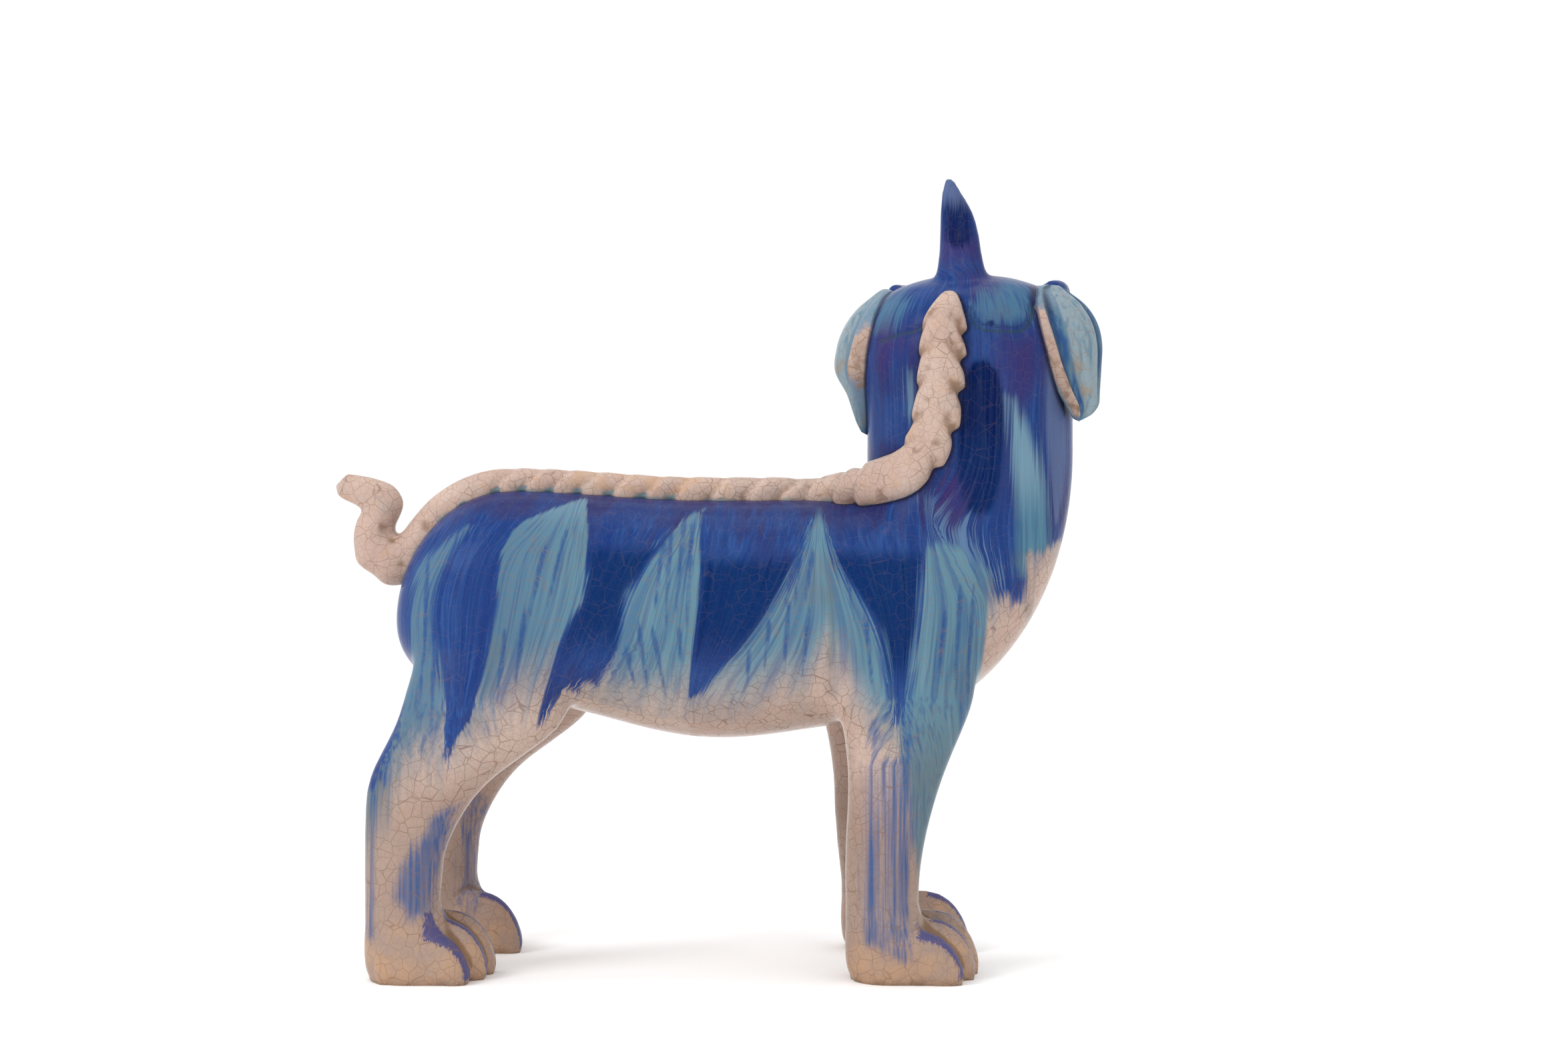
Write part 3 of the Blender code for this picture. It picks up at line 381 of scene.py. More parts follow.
PAW_LENGTH = 48.0
TOE_PITCH = 8.55
TOE_HALF_WIDTH = 6.6
TOE_HEIGHT = 24.0
TOE_SHORTER = {1: 7.5, 0: 2.5, -1: 0.5}  # outer, middle and inner toe
TOE_LOWER = {1: 4.5, 0: 1.5, -1: 0.0}
TOE_SPLAY = math.radians(4.0)
TOE_ROWS = (  # distance behind the tip, height share, half width share
    (0.9, 0.34, 0.62),
    (3.2, 0.58, 0.86),
    (7.5, 0.82, 0.98),
    (14.0, 0.97, 1.0),
    (24.0, 1.0, 1.0),
    (34.0, 0.9, 0.9),
)
HEEL_ROWS = (  # height share, further forward, half length, half width, all beyond the shank's
    (1.05, 0.0, 0.0, 0.0),
    (0.8, 1.2, 1.0, 1.2),
    (0.5, 3.8, 4.0, 3.0),
    (0.22, 5.2, 5.0, 4.2),
    (0.07, 5.2, 3.8, 3.4),
    (0.0, 5.1, 2.6, 2.6),
)
turns = np.linspace(0, 2 * math.pi, 32, endpoint=False)
toe_power = np.where(np.sin(turns) > 0, 2.0, 5.0)  # round above and square at the sole
toe_side = rounded(np.cos(turns), toe_power)[:, None]
toe_up = rounded(np.sin(turns), toe_power)
paws = []
for rows, shank_x, side, paw_longer, _ in LEGS:
    half_length, half_width = rows[0][2], rows[0][4]
    side_y = side * LEG_SPREAD / 2
    heel_rings = []
    for height, forward, longer, wider in through(HEEL_ROWS, 26):
        centre = (shank_x + forward, side_y, ANKLE_Z * height)
        heel_rings.append(level_ring(centre, half_length + longer, half_width + wider, 44, 2.2))
    clay_forms.append(lofted(heel_rings))
    toes = []
    for outward in (-1, 0, 1):
        length = PAW_LENGTH - TOE_SHORTER[outward] + paw_longer
        toe_height = TOE_HEIGHT - TOE_LOWER[outward]
        spin = side * outward * TOE_SPLAY
        heading = np.array([math.cos(spin), math.sin(spin), 0.0])
        across = np.array([-math.sin(spin), math.cos(spin), 0.0])
        root = np.array([shank_x - half_length, side_y + side * outward * TOE_PITCH, 0.0])
        toe_rings = []
        for behind, height, width in through(TOE_ROWS, 30):
            half_top = toe_height * height / 2
            toe_ring = root + heading * (length - behind) + (TOE_HALF_WIDTH * width * toe_side) * across
            toe_ring[:, 2] += np.maximum(half_top + half_top * toe_up, 0.0)
            toe_rings.append(toe_ring)
        tip = root + heading * length + (0, 0, toe_height * 0.16)
        clay_forms.append(lofted(toe_rings[::-1], None, tip))
        toes.append((root, heading, length, outward))
    paws.append((side_y, side, toes))


# Fired skin. Once luted, wiped and fired, all these forms read as one continuous glazed body. They are fused
# here, and the slip that fills each inner corner is drawn by letting the skin relax.

SKIN_VOXEL = 1.25


def mesh_object(name, points, faces):
    """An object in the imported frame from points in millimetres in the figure's own frame."""
    mesh = bpy.data.meshes.new(name)
    mesh.from_pydata((np.array(points) / 1000 + FIGURE_PLACE).tolist(), [], faces)
    mesh.validate()
    mesh.shade_smooth()
    made = bpy.data.objects.new(name, mesh)
    bpy.context.scene.collection.objects.link(made)
    return made


def figure_points(mesh):
    """A mesh's points in millimetres in the figure's own frame."""
    points = np.empty(len(mesh.vertices) * 3)
    mesh.vertices.foreach_get("co", points)
    return (points.reshape(-1, 3) - FIGURE_PLACE) * 1000


def set_figure_points(mesh, points):
    mesh.vertices.foreach_set("co", (points / 1000 + FIGURE_PLACE).ravel())
    mesh.update()


def outward(mesh):
    normals = np.empty(len(mesh.vertices) * 3)
    mesh.vertex_normals.foreach_get("vector", normals)
    return normals.reshape(-1, 3)


def edges_of(mesh):
    edges = np.empty(len(mesh.edges) * 2, int)
    mesh.edges.foreach_get("vertices", edges)
    return edges.reshape(-1, 2)


def relax(points, edges, weights, rounds):
    """Moves each point towards the mean of its neighbours by its own weight, again and again."""
    count = len(points)
    here, there = np.concatenate([edges, edges[:, ::-1]]).T
    valence = np.maximum(np.bincount(here, minlength=count), 1)
    for _ in range(rounds):
        sums = [np.bincount(here, column[there], minlength=count) for column in points.T]
        points = points + weights[:, None] * (np.stack(sums, axis=1) / valence[:, None] - points)
    return points


def fused(name, forms, voxel):
    """One skin over closed forms that overlap."""
    all_points, all_faces = [], []
    start = 0
    for points, faces in forms:
        all_points.append(points)
        all_faces += [tuple(start + i for i in face) for face in faces]
        start += len(points)
    raw = mesh_object(f"{name}_forms", np.vstack(all_points), all_faces)
    fuse = raw.modifiers.new("fuse", "REMESH")
    fuse.mode = "VOXEL"
    fuse.voxel_size = voxel / 1000
    mesh = bpy.data.meshes.new_from_object(raw.evaluated_get(bpy.context.evaluated_depsgraph_get()))
    bpy.data.objects.remove(raw)
    made = bpy.data.objects.new(name, mesh)
    bpy.context.scene.collection.objects.link(made)
    return made


def clamp(values):
    return np.clip(values, 0.0, 1.0)


body_skin = fused("glazed_body", clay_forms, SKIN_VOXEL)
skin_mesh = body_skin.data
skin_edges = edges_of(skin_mesh)
skin = figure_points(skin_mesh)

# Where the legs meet the trunk, the slip is smoothed most, and the paws keep their furrows.
above = clamp((skin[:, 2] - 40) / 30)
below_joint = clamp((150 - skin[:, 2]) / 30)
off_paws = clamp((skin[:, 2] - 24) / 8)
soles = skin[:, 2] < 1.0
skin = relax(skin, skin_edges, above * below_joint * 0.6, 70)
skin = relax(skin, skin_edges, 0.2 + 0.35 * off_paws, 6)


# Tooled marks. A groove for the hair's lower edge on the nape, a thumbed hollow in the horn, two nostrils and
# a vent under the belly, which lets the steam out in the kiln. All are worked while the clay is soft.

GROOVE_DEPTH = 0.9
GROOVE_HALF_WIDTH = 0.9
HOLLOW_DEPTH = 2.6
HOLLOW_RADIUS = 4.2
NOSTRIL_DEPTH = 3.0
NOSTRIL_PLACE = (69.5, 6.2, 31.5)
NOSTRIL_REACH = (2.6, 2.4, 2.0)
VENT_RADIUS = 4.6
VENT_DEPTH = 5.0
CAP_GROOVE = ((92.5, 246.5), (94.2, 242.5), (98.0, 239.8), (109.0, 239.0), (115.0, 241.5), (117.5, 249.0))
LEFT_GROOVE = ((60.5, 236.5), (66.0, 238.5), (72.0, 239.5), (77.0, 241.5))
HORN_HOLLOW = ((90.0, 277.5), (89.4, 286.5))


def smooth_step(values, low, high):
    share = clamp((values - low) / (high - low))
    return share * share * (3 - 2 * share)


def from_line(points, line):
    """Distance from each point to an open line of straight runs."""
    best = np.full(len(points), 1e9)
    line = np.array(line, float)
    for a, b in zip(line[:-1], line[1:]):
        run = b - a
        share = clamp(((points - a) @ run) / (run @ run))
        best = np.minimum(best, np.linalg.norm(points - a - share[:, None] * run, axis=1))
    return best


set_figure_points(skin_mesh, skin)
skin_out = outward(skin_mesh)
seen_plane = skin[:, [0, 2]]
rear = clamp(-skin_out[:, 1] * 3)
groove_gap = from_line(seen_plane, through(CAP_GROOVE, 26))
any_groove = np.minimum(groove_gap, from_line(seen_plane, through(LEFT_GROOVE, 14)))
on_head = (skin[:, 2] > 225) & (skin[:, 1] < 0)
skin_groove = np.exp(-((any_groove / GROOVE_HALF_WIDTH) ** 2)) * rear * on_head
hollow = np.exp(-((from_line(seen_plane, HORN_HOLLOW) / HOLLOW_RADIUS) ** 2)) * rear * (skin[:, 2] > 264)
skin -= skin_out * (GROOVE_DEPTH * skin_groove + HOLLOW_DEPTH * hollow)[:, None]
head_side = in_head(skin)
for side in (-1, 1):
    nostril = np.linalg.norm((head_side - np.array(NOSTRIL_PLACE) * (1, side, 1)) / NOSTRIL_REACH, axis=1)
    skin -= skin_out * (NOSTRIL_DEPTH * np.exp(-(nostril**2)))[:, None]
vent = np.hypot(skin[:, 0] - BELLY_X, skin[:, 1]) / VENT_RADIUS
skin[:, 2] += VENT_DEPTH * (skin[:, 2] < 110) * smooth_step(-vent, -1.25, -0.85)
skin[soles, 2] = 0.0
skin[:, 2] = np.maximum(skin[:, 2], 0.0)
set_figure_points(skin_mesh, skin)
skin_mesh.shade_smooth()

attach(body_skin, "root")
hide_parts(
    "right_shell", "left_shell", "head_shell", "horn",
    "muzzle", "nose", "lower_jaw", "right_brow", "left_brow", "beard",
    "right_hind_leg", "left_hind_leg", "right_fore_leg", "left_fore_leg",
    "right_hind_paw", "left_hind_paw", "right_fore_paw", "left_fore_paw",
)


# Spine ridge and tail. One long coil of clay is laid from the rump to the crown and pinched along both
# flanks. A fatter coil is rolled for the tail, folded over to the rear and smoothed into the ridge's foot.
# Both keep the cream crackle glaze, with brown in the pinches, partly stain and partly painted shade,
# some blue that seeps on to them, and painted shade at the coil's foot.

RIDGE_HALF_WIDTH = 8.7
RIDGE_HALF_HEIGHT = 8.7
NAPE_HALF_HEIGHT = 7.9
NAPE_WIDER = 0.08
RIDGE_POWER = 2.3
RIDGE_TIP = 19.0
RIDGE_START_X = RUMP_X + 6.5
PINCH_SLANT = 6.5  # how far each pinch leans towards the head on its way to the top
PINCH_STEEP = 2.0  # how soon the coil swells again beyond a pinch
PINCH_FALL = 3.8  # how slowly it narrows before the next one
BACK_PINCH = 0.33  # depth of a pinch, as a share of the radius
NAPE_PINCH = 0.34
CORNER_FULLER = 0.04  # the clay bunches where the coil bends up at the withers
TAIL_ROOT_Z = 153.0
COIL_VOXEL = 0.85
RIDGE_SWING = (  # height above the neck joint, share of the head's turn
    (-21.0, 0.52),
    (-16.0, 0.74),
    (-8.5, 0.86),
    (-2.0, 0.91),
    (11.5, 0.96),
    (24.0, 0.98),
    (36.0, 0.99),
    (42.0, 1.0),
    (46.5, 1.0),
)
BACK_PINCHES = (-85.6, -75.4, -65.0, -54.1, -42.2, -29.5, -18.6, -4.7, 9.3, 22.2, 34.6, 46.6, 53.5)  # their x
NAPE_PINCHES = (-13.0, -2.2, 11.5, 23.0, 32.5)  # their height above the neck joint
TAIL_ROWS = (  # upper outline x and z, lower outline x and z, half width, from the root's place on the rump
    (10.0, 12.0, 10.0, -7.0, 9.5),
    (1.5, 10.5, -3.0, -8.5, 9.0),
    (-0.2, 11.5, -9.0, -4.5, 8.6),
    (-1.2, 12.5, -14.9, -0.1, 8.2),
    (-1.0, 13.8, -16.4, 5.6, 7.9),
    (-0.2, 15.3, -16.6, 11.2, 7.7),
    (1.6, 18.1, -15.5, 16.1, 7.6),
    (2.7, 22.0, -13.9, 19.2, 7.6),
    (1.6, 25.8, -13.7, 20.7, 7.5),
    (-1.7, 29.9, -14.8, 21.7, 7.1),
    (-7.3, 32.2, -17.3, 23.1, 6.4),
    (-12.7, 33.5, -20.4, 24.5, 5.6),
    (-19.1, 34.4, -22.7, 26.1, 4.3),
)
TAIL_TIP = (-23.7, 0, 29.9)


def search_tree(points, mesh):
    return BVHTree.FromPolygons(points.tolist(), [tuple(face.vertices) for face in mesh.polygons])


def gaps_to(tree, points, reach=25.0):
    """Distance from each point to the nearest place on a surface, up to `reach` millimetres."""
    found = [tree.find_nearest(Vector(point), reach)[3] for point in points]
    return np.array([reach if gap is None else gap for gap in found])


skin_tree = search_tree(skin, skin_mesh)
route = []
start_turn = math.acos((HIP_X - RIDGE_START_X) / (HIP_X - RUMP_X))
for turn in np.linspace(start_turn, math.pi / 2, 6):
    x = HIP_X - (HIP_X - RUMP_X) * math.cos(turn)
    route.append((x, 0, RUMP_Z + (HIP_Z - RUMP_Z) * math.sin(turn)))
for share in np.linspace(0.12, 0.94, 8):
    back_x = blend(HIP_X, WITHERS_X - WITHERS_FILLET, share)
    route.append((back_x, 0, blend(HIP_Z, SADDLE_Z, ease(share / 0.6))))
for height, share in RIDGE_SWING:
    turn = HEAD_TURN * share
    reach = (NECK_X - WITHERS_X) * (1.0 if height < 40 else 0.75)
    route.append((NECK_X - reach * math.cos(turn), -reach * math.sin(turn), NECK_JOINT_Z + height))
seated = []
for place in route:
    spot, normal, _, _ = skin_tree.find_nearest(Vector(place))
    seated.append((*spot, *normal))
dense = through(seated, 700)
heading = unit(np.gradient(dense[:, :3], axis=0))
sideways = unit(np.cross(heading, dense[:, 3:]))
laid = np.hstack([dense[:, :3], sideways, np.cross(sideways, heading)])
travelled = np.concatenate([[0.0], np.cumsum(np.linalg.norm(np.diff(dense[:, :3], axis=0), axis=1))])
ridge_length = travelled[-1]
on_back = dense[:, 2] < SADDLE_Z + WITHERS_FILLET
on_nape = dense[:, 0] > WITHERS_X
withers = travelled[on_nape][0]
pinches = np.interp(BACK_PINCHES, dense[on_back, 0], travelled[on_back])
nape_heights = np.array(NAPE_PINCHES) + NECK_JOINT_Z
pinches = np.concatenate([pinches, np.interp(nape_heights, dense[on_nape, 2], travelled[on_nape])])


def pinched(marks):
    """How far the coil is pinched in, from 0 to 1: sharply just behind each lobe, slowly before the next."""
    gaps = np.asarray(marks)[:, None] - pinches
    beyond = np.where(gaps >= 0, gaps, 99.0).min(axis=1)
    short = np.where(gaps < 0, -gaps, 99.0).min(axis=1)
    return np.maximum(np.exp(-((beyond / PINCH_STEEP) ** 2)), np.exp(-short / PINCH_FALL))


ridge_marks = np.arange(0, ridge_length, 0.6)
turns = np.linspace(0, 2 * math.pi, 72, endpoint=False)
side, up = np.cos(turns), np.sin(turns)
ridge_rings = []
for at, pinch in zip(ridge_marks, pinched(ridge_marks)):
    up_neck = at - withers
    nape = ease(up_neck / 30)
    taper = min((ridge_length - at) / RIDGE_TIP + 0.08, 1.0) ** 0.62
    depth = blend(BACK_PINCH, NAPE_PINCH, nape) * pinch
    bunched = CORNER_FULLER * math.exp(-(((up_neck - 14) / 17) ** 2))
    fuller = 1 + bunched + NAPE_WIDER * ease((up_neck - 20) / 20)
    slant = PINCH_SLANT * min(1.0, at / 20, (ridge_length - at) / 20)
    shifted = at + slant * np.maximum(up, 0.0) ** 1.5
    row = np.stack([np.interp(shifted, travelled, column) for column in laid.T], axis=1)
    size = taper * (1 - depth * (0.12 + 0.88 * np.abs(side)) * np.where(side < 0, 1 - 0.5 * nape, 1.0))
    wide = rounded(side, RIDGE_POWER) * size * RIDGE_HALF_WIDTH * fuller
    high = rounded(up, RIDGE_POWER) * size * blend(RIDGE_HALF_HEIGHT, NAPE_HALF_HEIGHT, nape)
    ridge_rings.append(row[:, :3] + wide[:, None] * row[:, 3:6] + high[:, None] * row[:, 6:])
tail_root = np.array([RUMP_X, 0, TAIL_ROOT_Z])
tail_rings = []
for upper_x, upper_z, lower_x, lower_z, half_width in through(TAIL_ROWS, 90):
    upper, lower = tail_root + (upper_x, 0, upper_z), tail_root + (lower_x, 0, lower_z)
    tail_rings.append(ring((upper + lower) / 2, (upper - lower) / 2, (0, half_width, 0), 48))
tail_form = lofted(tail_rings, None, tail_root + TAIL_TIP)
spine_coil = fused("spine_coil", [lofted(ridge_rings), tail_form], COIL_VOXEL)
coil_mesh = spine_coil.data
coil_edges = edges_of(coil_mesh)
coil_points = figure_points(coil_mesh)
off_root = np.linalg.norm(coil_points - (tail_root + (6, 0, 9)), axis=1)
coil_points = relax(coil_points, coil_edges, 0.6 * clamp((17 - off_root) / 7), 45)
coil_points = relax(coil_points, coil_edges, np.full(len(coil_points), 0.35), 2)
set_figure_points(coil_mesh, coil_points)
coil_mesh.shade_smooth()


class Shade:
    """A value in a glaze's node tree. Sums written on it add the Math nodes that work them out."""

    def __init__(self, tree, socket=None):
        self.tree = tree
        self.socket = socket

    def node(self, kind, settings, sockets, output=0):
        """Adds any node: its settings first, then the values or links of its sockets."""
        made = self.tree.nodes.new(kind)
        for name, value in settings.items():
            setattr(made, name, value)
        for key, value in sockets.items():
            if isinstance(value, Shade):
                self.tree.links.new(value.socket, made.inputs[key])
            else:
                made.inputs[key].default_value = value
        return Shade(self.tree, made.outputs[output])

    def math(self, operation, *values):
        return self.node("ShaderNodeMath", {"operation": operation}, dict(enumerate(values)))

    def __add__(self, other):
        return self.math("ADD", self, other)

    def __sub__(self, other):
        return self.math("SUBTRACT", self, other)

    def __rsub__(self, other):
        return self.math("SUBTRACT", other, self)

    def __mul__(self, other):
        return self.math("MULTIPLY", self, other)

    __radd__ = __add__
    __rmul__ = __mul__

    def least(self, other):
        return self.math("MINIMUM", self, other)

    def most(self, other):
        return self.math("MAXIMUM", self, other)

    def step(self, low, high):
        """0 below `low`, 1 above `high` and a soft rise between them."""
        settings = {"interpolation_type": "SMOOTHSTEP"}
        return self.node("ShaderNodeMapRange", settings, {"Value": self, "From Min": low, "From Max": high})

    def between(self, one, other):
        """The colour `one` where this is 0 and `other` where it is 1."""
        return self.node("ShaderNodeMix", {"data_type": "RGBA"}, {0: self, 6: one, 7: other}, 2)

    def under(self, colour, share):
        """This colour with `colour` laid over it where `share` is 1."""
        return share.between(self, colour)

    def coats(self, *laid):
        """This colour with pairs of a colour and its share laid over it, one after the other."""
        surface = self
        for colour, share in laid:
            surface = surface.under(colour, share)
        return surface

    def stretched(self, scale):
        return self.node("ShaderNodeVectorMath", {"operation": "MULTIPLY"}, {0: self, 1: scale})

    def noise(self, scale, detail):
        sockets = {"Vector": self, "Scale": scale, "Detail": detail}
        return self.node("ShaderNodeTexNoise", {}, sockets, "Fac")


def colour(red, green, blue):
    """A colour as a screen shows it, from 0 to 255, in the shader's linear numbers."""
    parts = [part / 255 for part in (red, green, blue)]
    linear = [part / 12.92 if part <= 0.04045 else ((part + 0.055) / 1.055) ** 2.4 for part in parts]
    return (*linear, 1.0)


def glaze(name):
    """A new glaze: its material, the start of its node tree, and the place on the piece in millimetres."""
    material = bpy.data.materials.new(name)
    material.use_nodes = True
    tree = material.node_tree
    start = Shade(tree)
    place = start.node("ShaderNodeTexCoord", {}, {}, "Object").stretched((1000.0, 1000.0, 1000.0))
    return material, start, place


def mark(start, name, output="Fac"):
    """A painted mark that the mesh carries at each of its points."""
    return start.node("ShaderNodeAttribute", {"attribute_name": name}, {}, output)


def frayed(start, name, low, high, *waves):
    """A mark's edge, soft from `low` to `high` and frayed by pairs of a noise and how far it swings."""
    edge = mark(start, name)
    for wave, swing in waves:
        edge = edge + (wave - 0.5) * swing
    return edge.step(low, high)


def put_marks(mesh, **marks_by_name):
    for name, values in marks_by_name.items():
        kind, slot = ("FLOAT_VECTOR", "vector") if values.ndim == 2 else ("FLOAT", "value")
        made = mesh.attributes.new(name, kind, "POINT")
        made.data.foreach_set(slot, np.ascontiguousarray(values, np.float32).ravel())


def dots(one, other):
    return np.einsum("ij,ij->i", one, other)


def hollows(points, mesh, edges, rounds=9):
    """How deep each point lies in a crease, in millimetres below the same skin with its creases filled."""
    filled = relax(points, edges, np.full(len(points), 0.5), rounds)
    depth = dots(filled - points, outward(mesh))
    return relax(depth[:, None], edges, np.full(len(points), 0.5), 3)[:, 0]


def crackle(place, cell, width):
    """The fine net of a crazed glaze, 1 on its lines, from its cells' size and its lines' half width."""
    wander = place.noise(0.25, 1.0) * (0.07 * cell)
    shifted = place.node("ShaderNodeVectorMath", {"operation": "ADD"}, {0: place, 1: wander})
    sockets = {"Vector": shifted, "Scale": 1 / cell, "Randomness": 1.0}
    edge = place.node("ShaderNodeTexVoronoi", {"feature": "DISTANCE_TO_EDGE"}, sockets, "Distance") * cell
    return 1 - edge.step(width * 0.3, width * 1.7)


def fire(material, start, surface, roughness, height, relief):
    """Sets a glaze's colour, its gloss, and the relief, in metres, of a height from 0 to 1."""
    shader = material.node_tree.nodes["Principled BSDF"]
    links = material.node_tree.links
    links.new(surface.socket, shader.inputs["Base Color"])
    links.new(roughness.socket, shader.inputs["Roughness"])
    bump = start.node("ShaderNodeBump", {}, {"Height": height, "Distance": relief, "Strength": 1.0}, "Normal")
    links.new(bump.socket, shader.inputs["Normal"])
    shader.inputs["Specular IOR Level"].default_value = 0.03


CREAM = colour(186, 164, 152)
CREAM_PINK = colour(178, 152, 140)
CREAM_GREY = colour(172, 160, 152)
OCHRE = colour(184, 146, 112)
CRACK_BROWN = colour(128, 104, 90)
STAIN_BROWN = colour(112, 84, 60)
SEEP_BLUE = colour(84, 122, 134)
SEEP_AND_FOOT_SHADE = colour(44, 62, 70)
BROWN_SPOTS = (  # x, z and radius of places where the body's iron shows through
    (-112.4, 167.5, 2.6), (76.5, 181.2, 2.4), (60.0, 180.5, 2.0), (-128.7, 166.8, 2.6), (-125.4, 161.4, 2.2),
    (-122.3, 153.1, 2.4), (86.7, 217.8, 2.6), (90.2, 236.0, 1.3), (89.6, 227.0, 1.5), (87.4, 202.0, 1.5),
    (77.0, 225.5, 1.8), (77.2, 213.5, 2.0), (80.5, 197.5, 2.2), (84.3, 205.1, 1.8),
)
BLUE_SPOTS = (  # and where the blue has crept on to the cream
    (-98.0, 175.0, 2.6), (62.0, 190.5, 3.4), (82.5, 182.0, 3.6), (-125.4, 148.5, 3.4), (88.0, 253.5, 2.6),
    (91.6, 246.0, 3.0), (92.8, 242.0, 2.2),
)


def cream_body(place, stain, fine):
    """Cream crackle glaze, with brown stain and painted shade in its hollows. `fine` is how far the small
    cells show.
    """
    broad = place.noise(0.045, 3.0)
    patches = place.noise(0.09, 2.0).step(0.52, 0.7)
    surface = broad.step(0.35, 0.65).between(CREAM, CREAM_PINK)
    lines = crackle(place, 4.8, 0.11) * place.noise(0.12, 1.0).step(0.2, 0.6)
    net = (lines * 0.7).most(crackle(place, 2.6, 0.09) * fine)
    dirt_and_shade = (stain + (place.noise(0.6, 3.0) - 0.5) * 0.25).step(0.12, 0.7)
    surface = surface.coats((CREAM_GREY, patches * 0.4), (STAIN_BROWN, dirt_and_shade * 0.7), (CRACK_BROWN, net))
    return surface, net, dirt_and_shade


def spots(points, places, inmost=2.0):
    """Soft round marks at places in (x, z) on the figure's right, as far in as y `inmost`."""
    found = np.zeros(len(points))
    for x, z, radius in places:
        gap = np.hypot(points[:, 0] - x, points[:, 2] - z)
        found = np.maximum(found, np.exp(-((gap / radius) ** 2)) * (points[:, 1] < inmost))
    return found


route_tree = KDTree(len(dense))
for i, row in enumerate(dense):
    route_tree.insert(Vector(row[:3]), i)
route_tree.balance()
nearest = np.array([route_tree.find(Vector(point))[1] for point in coil_points])
rel = coil_points - laid[nearest, :3]
side_gap = dots(rel, laid[nearest, 3:6])
up_gap = np.maximum(dots(rel, laid[nearest, 6:]), 0.0)
lift = up_gap / (np.hypot(side_gap, up_gap) + 1e-6)
coil_marks = travelled[nearest] + dots(rel, heading[nearest]) - PINCH_SLANT * lift**1.5
coil_pinch = pinched(coil_marks) * (1 - lift**2) * (travelled[nearest] > 8)
coil_gap = gaps_to(skin_tree, coil_points)
foot = 1 - smooth_step(coil_gap, 0.8, 4.0)
rearward = 1 - smooth_step(coil_points[:, 0], -20, 0)
up_nape = smooth_step(coil_points[:, 2], 190, 205)
nearest_pinch = np.abs(coil_marks[:, None] - pinches).min(axis=1)
furrow = np.exp(-((nearest_pinch / blend(2.2, 3.6, up_nape)) ** 2)) * np.sqrt(np.maximum(1 - lift**2, 0.0))
# The brown in the pinches and along their furrows is partly stain and partly painted shade.
coil_stain_and_shade = np.maximum(coil_pinch * blend(0.5, 0.8, foot), furrow * blend(0.6, 1.15, up_nape))
coil_stain_and_shade = np.maximum(coil_stain_and_shade, 0.8 * spots(coil_points, BROWN_SPOTS))
coil_blue = np.maximum(coil_pinch * foot * rearward * 1.2, spots(coil_points, BLUE_SPOTS) * foot)
ochre = smooth_step(coil_points[:, 0], -68, -44) * (1 - smooth_step(coil_points[:, 0], -14, 10)) * (1 - foot)
put_marks(
    coil_mesh, stain=hollows(coil_points, coil_mesh, coil_edges, 7), seat=coil_gap,
    brown=coil_stain_and_shade, blue=coil_blue, ochre=ochre,
)
coil_glaze, start, place = glaze("cream crackle glaze")
surface, net, dirt_and_shade = cream_body(place, mark(start, "stain") * 1.3, 0.3)
mottle = place.noise(0.3, 3.0)
tint = (place.noise(0.14, 3.0) + mark(start, "ochre") * 0.16).step(0.54, 0.76)
off_skin = frayed(start, "seat", 0.2, 1.5, (mottle, 3.0))
edge_seep = (1 - off_skin) * place.noise(0.11, 1.0).step(0.45, 0.6)
blue_seep = frayed(start, "blue", 0.35, 0.95, (mottle, 0.9))
# The coil's foot, where it sits on the skin, is darkened with painted shade, deepest where blue has seeped.
at_foot = 1 - mark(start, "seat").step(0.15, 0.9)
surface = surface.coats(
    (OCHRE, tint * 0.45),
    (STAIN_BROWN, frayed(start, "brown", 0.2, 1.05, (mottle, 1.4)) * 0.7),
    (SEEP_BLUE, blue_seep.most(edge_seep * 0.7) * 0.75),
    (SEEP_AND_FOOT_SHADE, at_foot * mark(start, "blue").most(0.25) * 0.7),
)
fire(coil_glaze, start, surface, dirt_and_shade * 0.25 + 0.2, place.noise(0.5, 3.0) - net * 0.25, 0.00012)
coil_mesh.materials.append(coil_glaze)
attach(spine_coil, "root")
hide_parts("spine_ridge", "tail")


# Ears. Each is a thick flap of clay, folded into a rim, a furrow and a full outer roll, and luted on to
# droop. The rim is left cream, the furrow is painted blue, and the roll has a thin turquoise glaze.

EAR_ROWS = (  # height, inner edge x and y, outer edge x and y, half thickness
    (53.5, -7.0, 31.0, 0.5, 34.5, 1.6),
    (51.5, -12.0, 28.0, 2.0, 37.0, 3.4),
    (46.0, -20.0, 27.5, 4.0, 43.0, 5.8),
    (39.0, -23.0, 29.5, 3.0, 47.5, 6.6),
    (31.0, -23.0, 32.0, 1.0, 49.5, 7.0),
    (22.0, -21.0, 35.0, -1.0, 49.5, 6.6),
)
RIGHT_EAR_END = ((13.0, -17.5, 38.5, -2.0, 49.0, 6.0), (8.0, -14.5, 41.0, -2.5, 48.7, 5.2))
RIGHT_EAR_END += ((4.5, -12.0, 42.3, -4.5, 46.9, 3.9), (2.6, -10.5, 43.0, -7.0, 44.8, 2.0))
LEFT_EAR_END = ((13.0, -17.0, 36.5, -6.0, 43.4, 5.2), (7.0, -14.0, 36.6, -7.0, 41.6, 4.4))
LEFT_EAR_END += ((2.0, -11.5, 36.8, -7.5, 40.4, 3.6), (-1.5, -9.8, 37.0, -7.8, 39.6, 2.4))
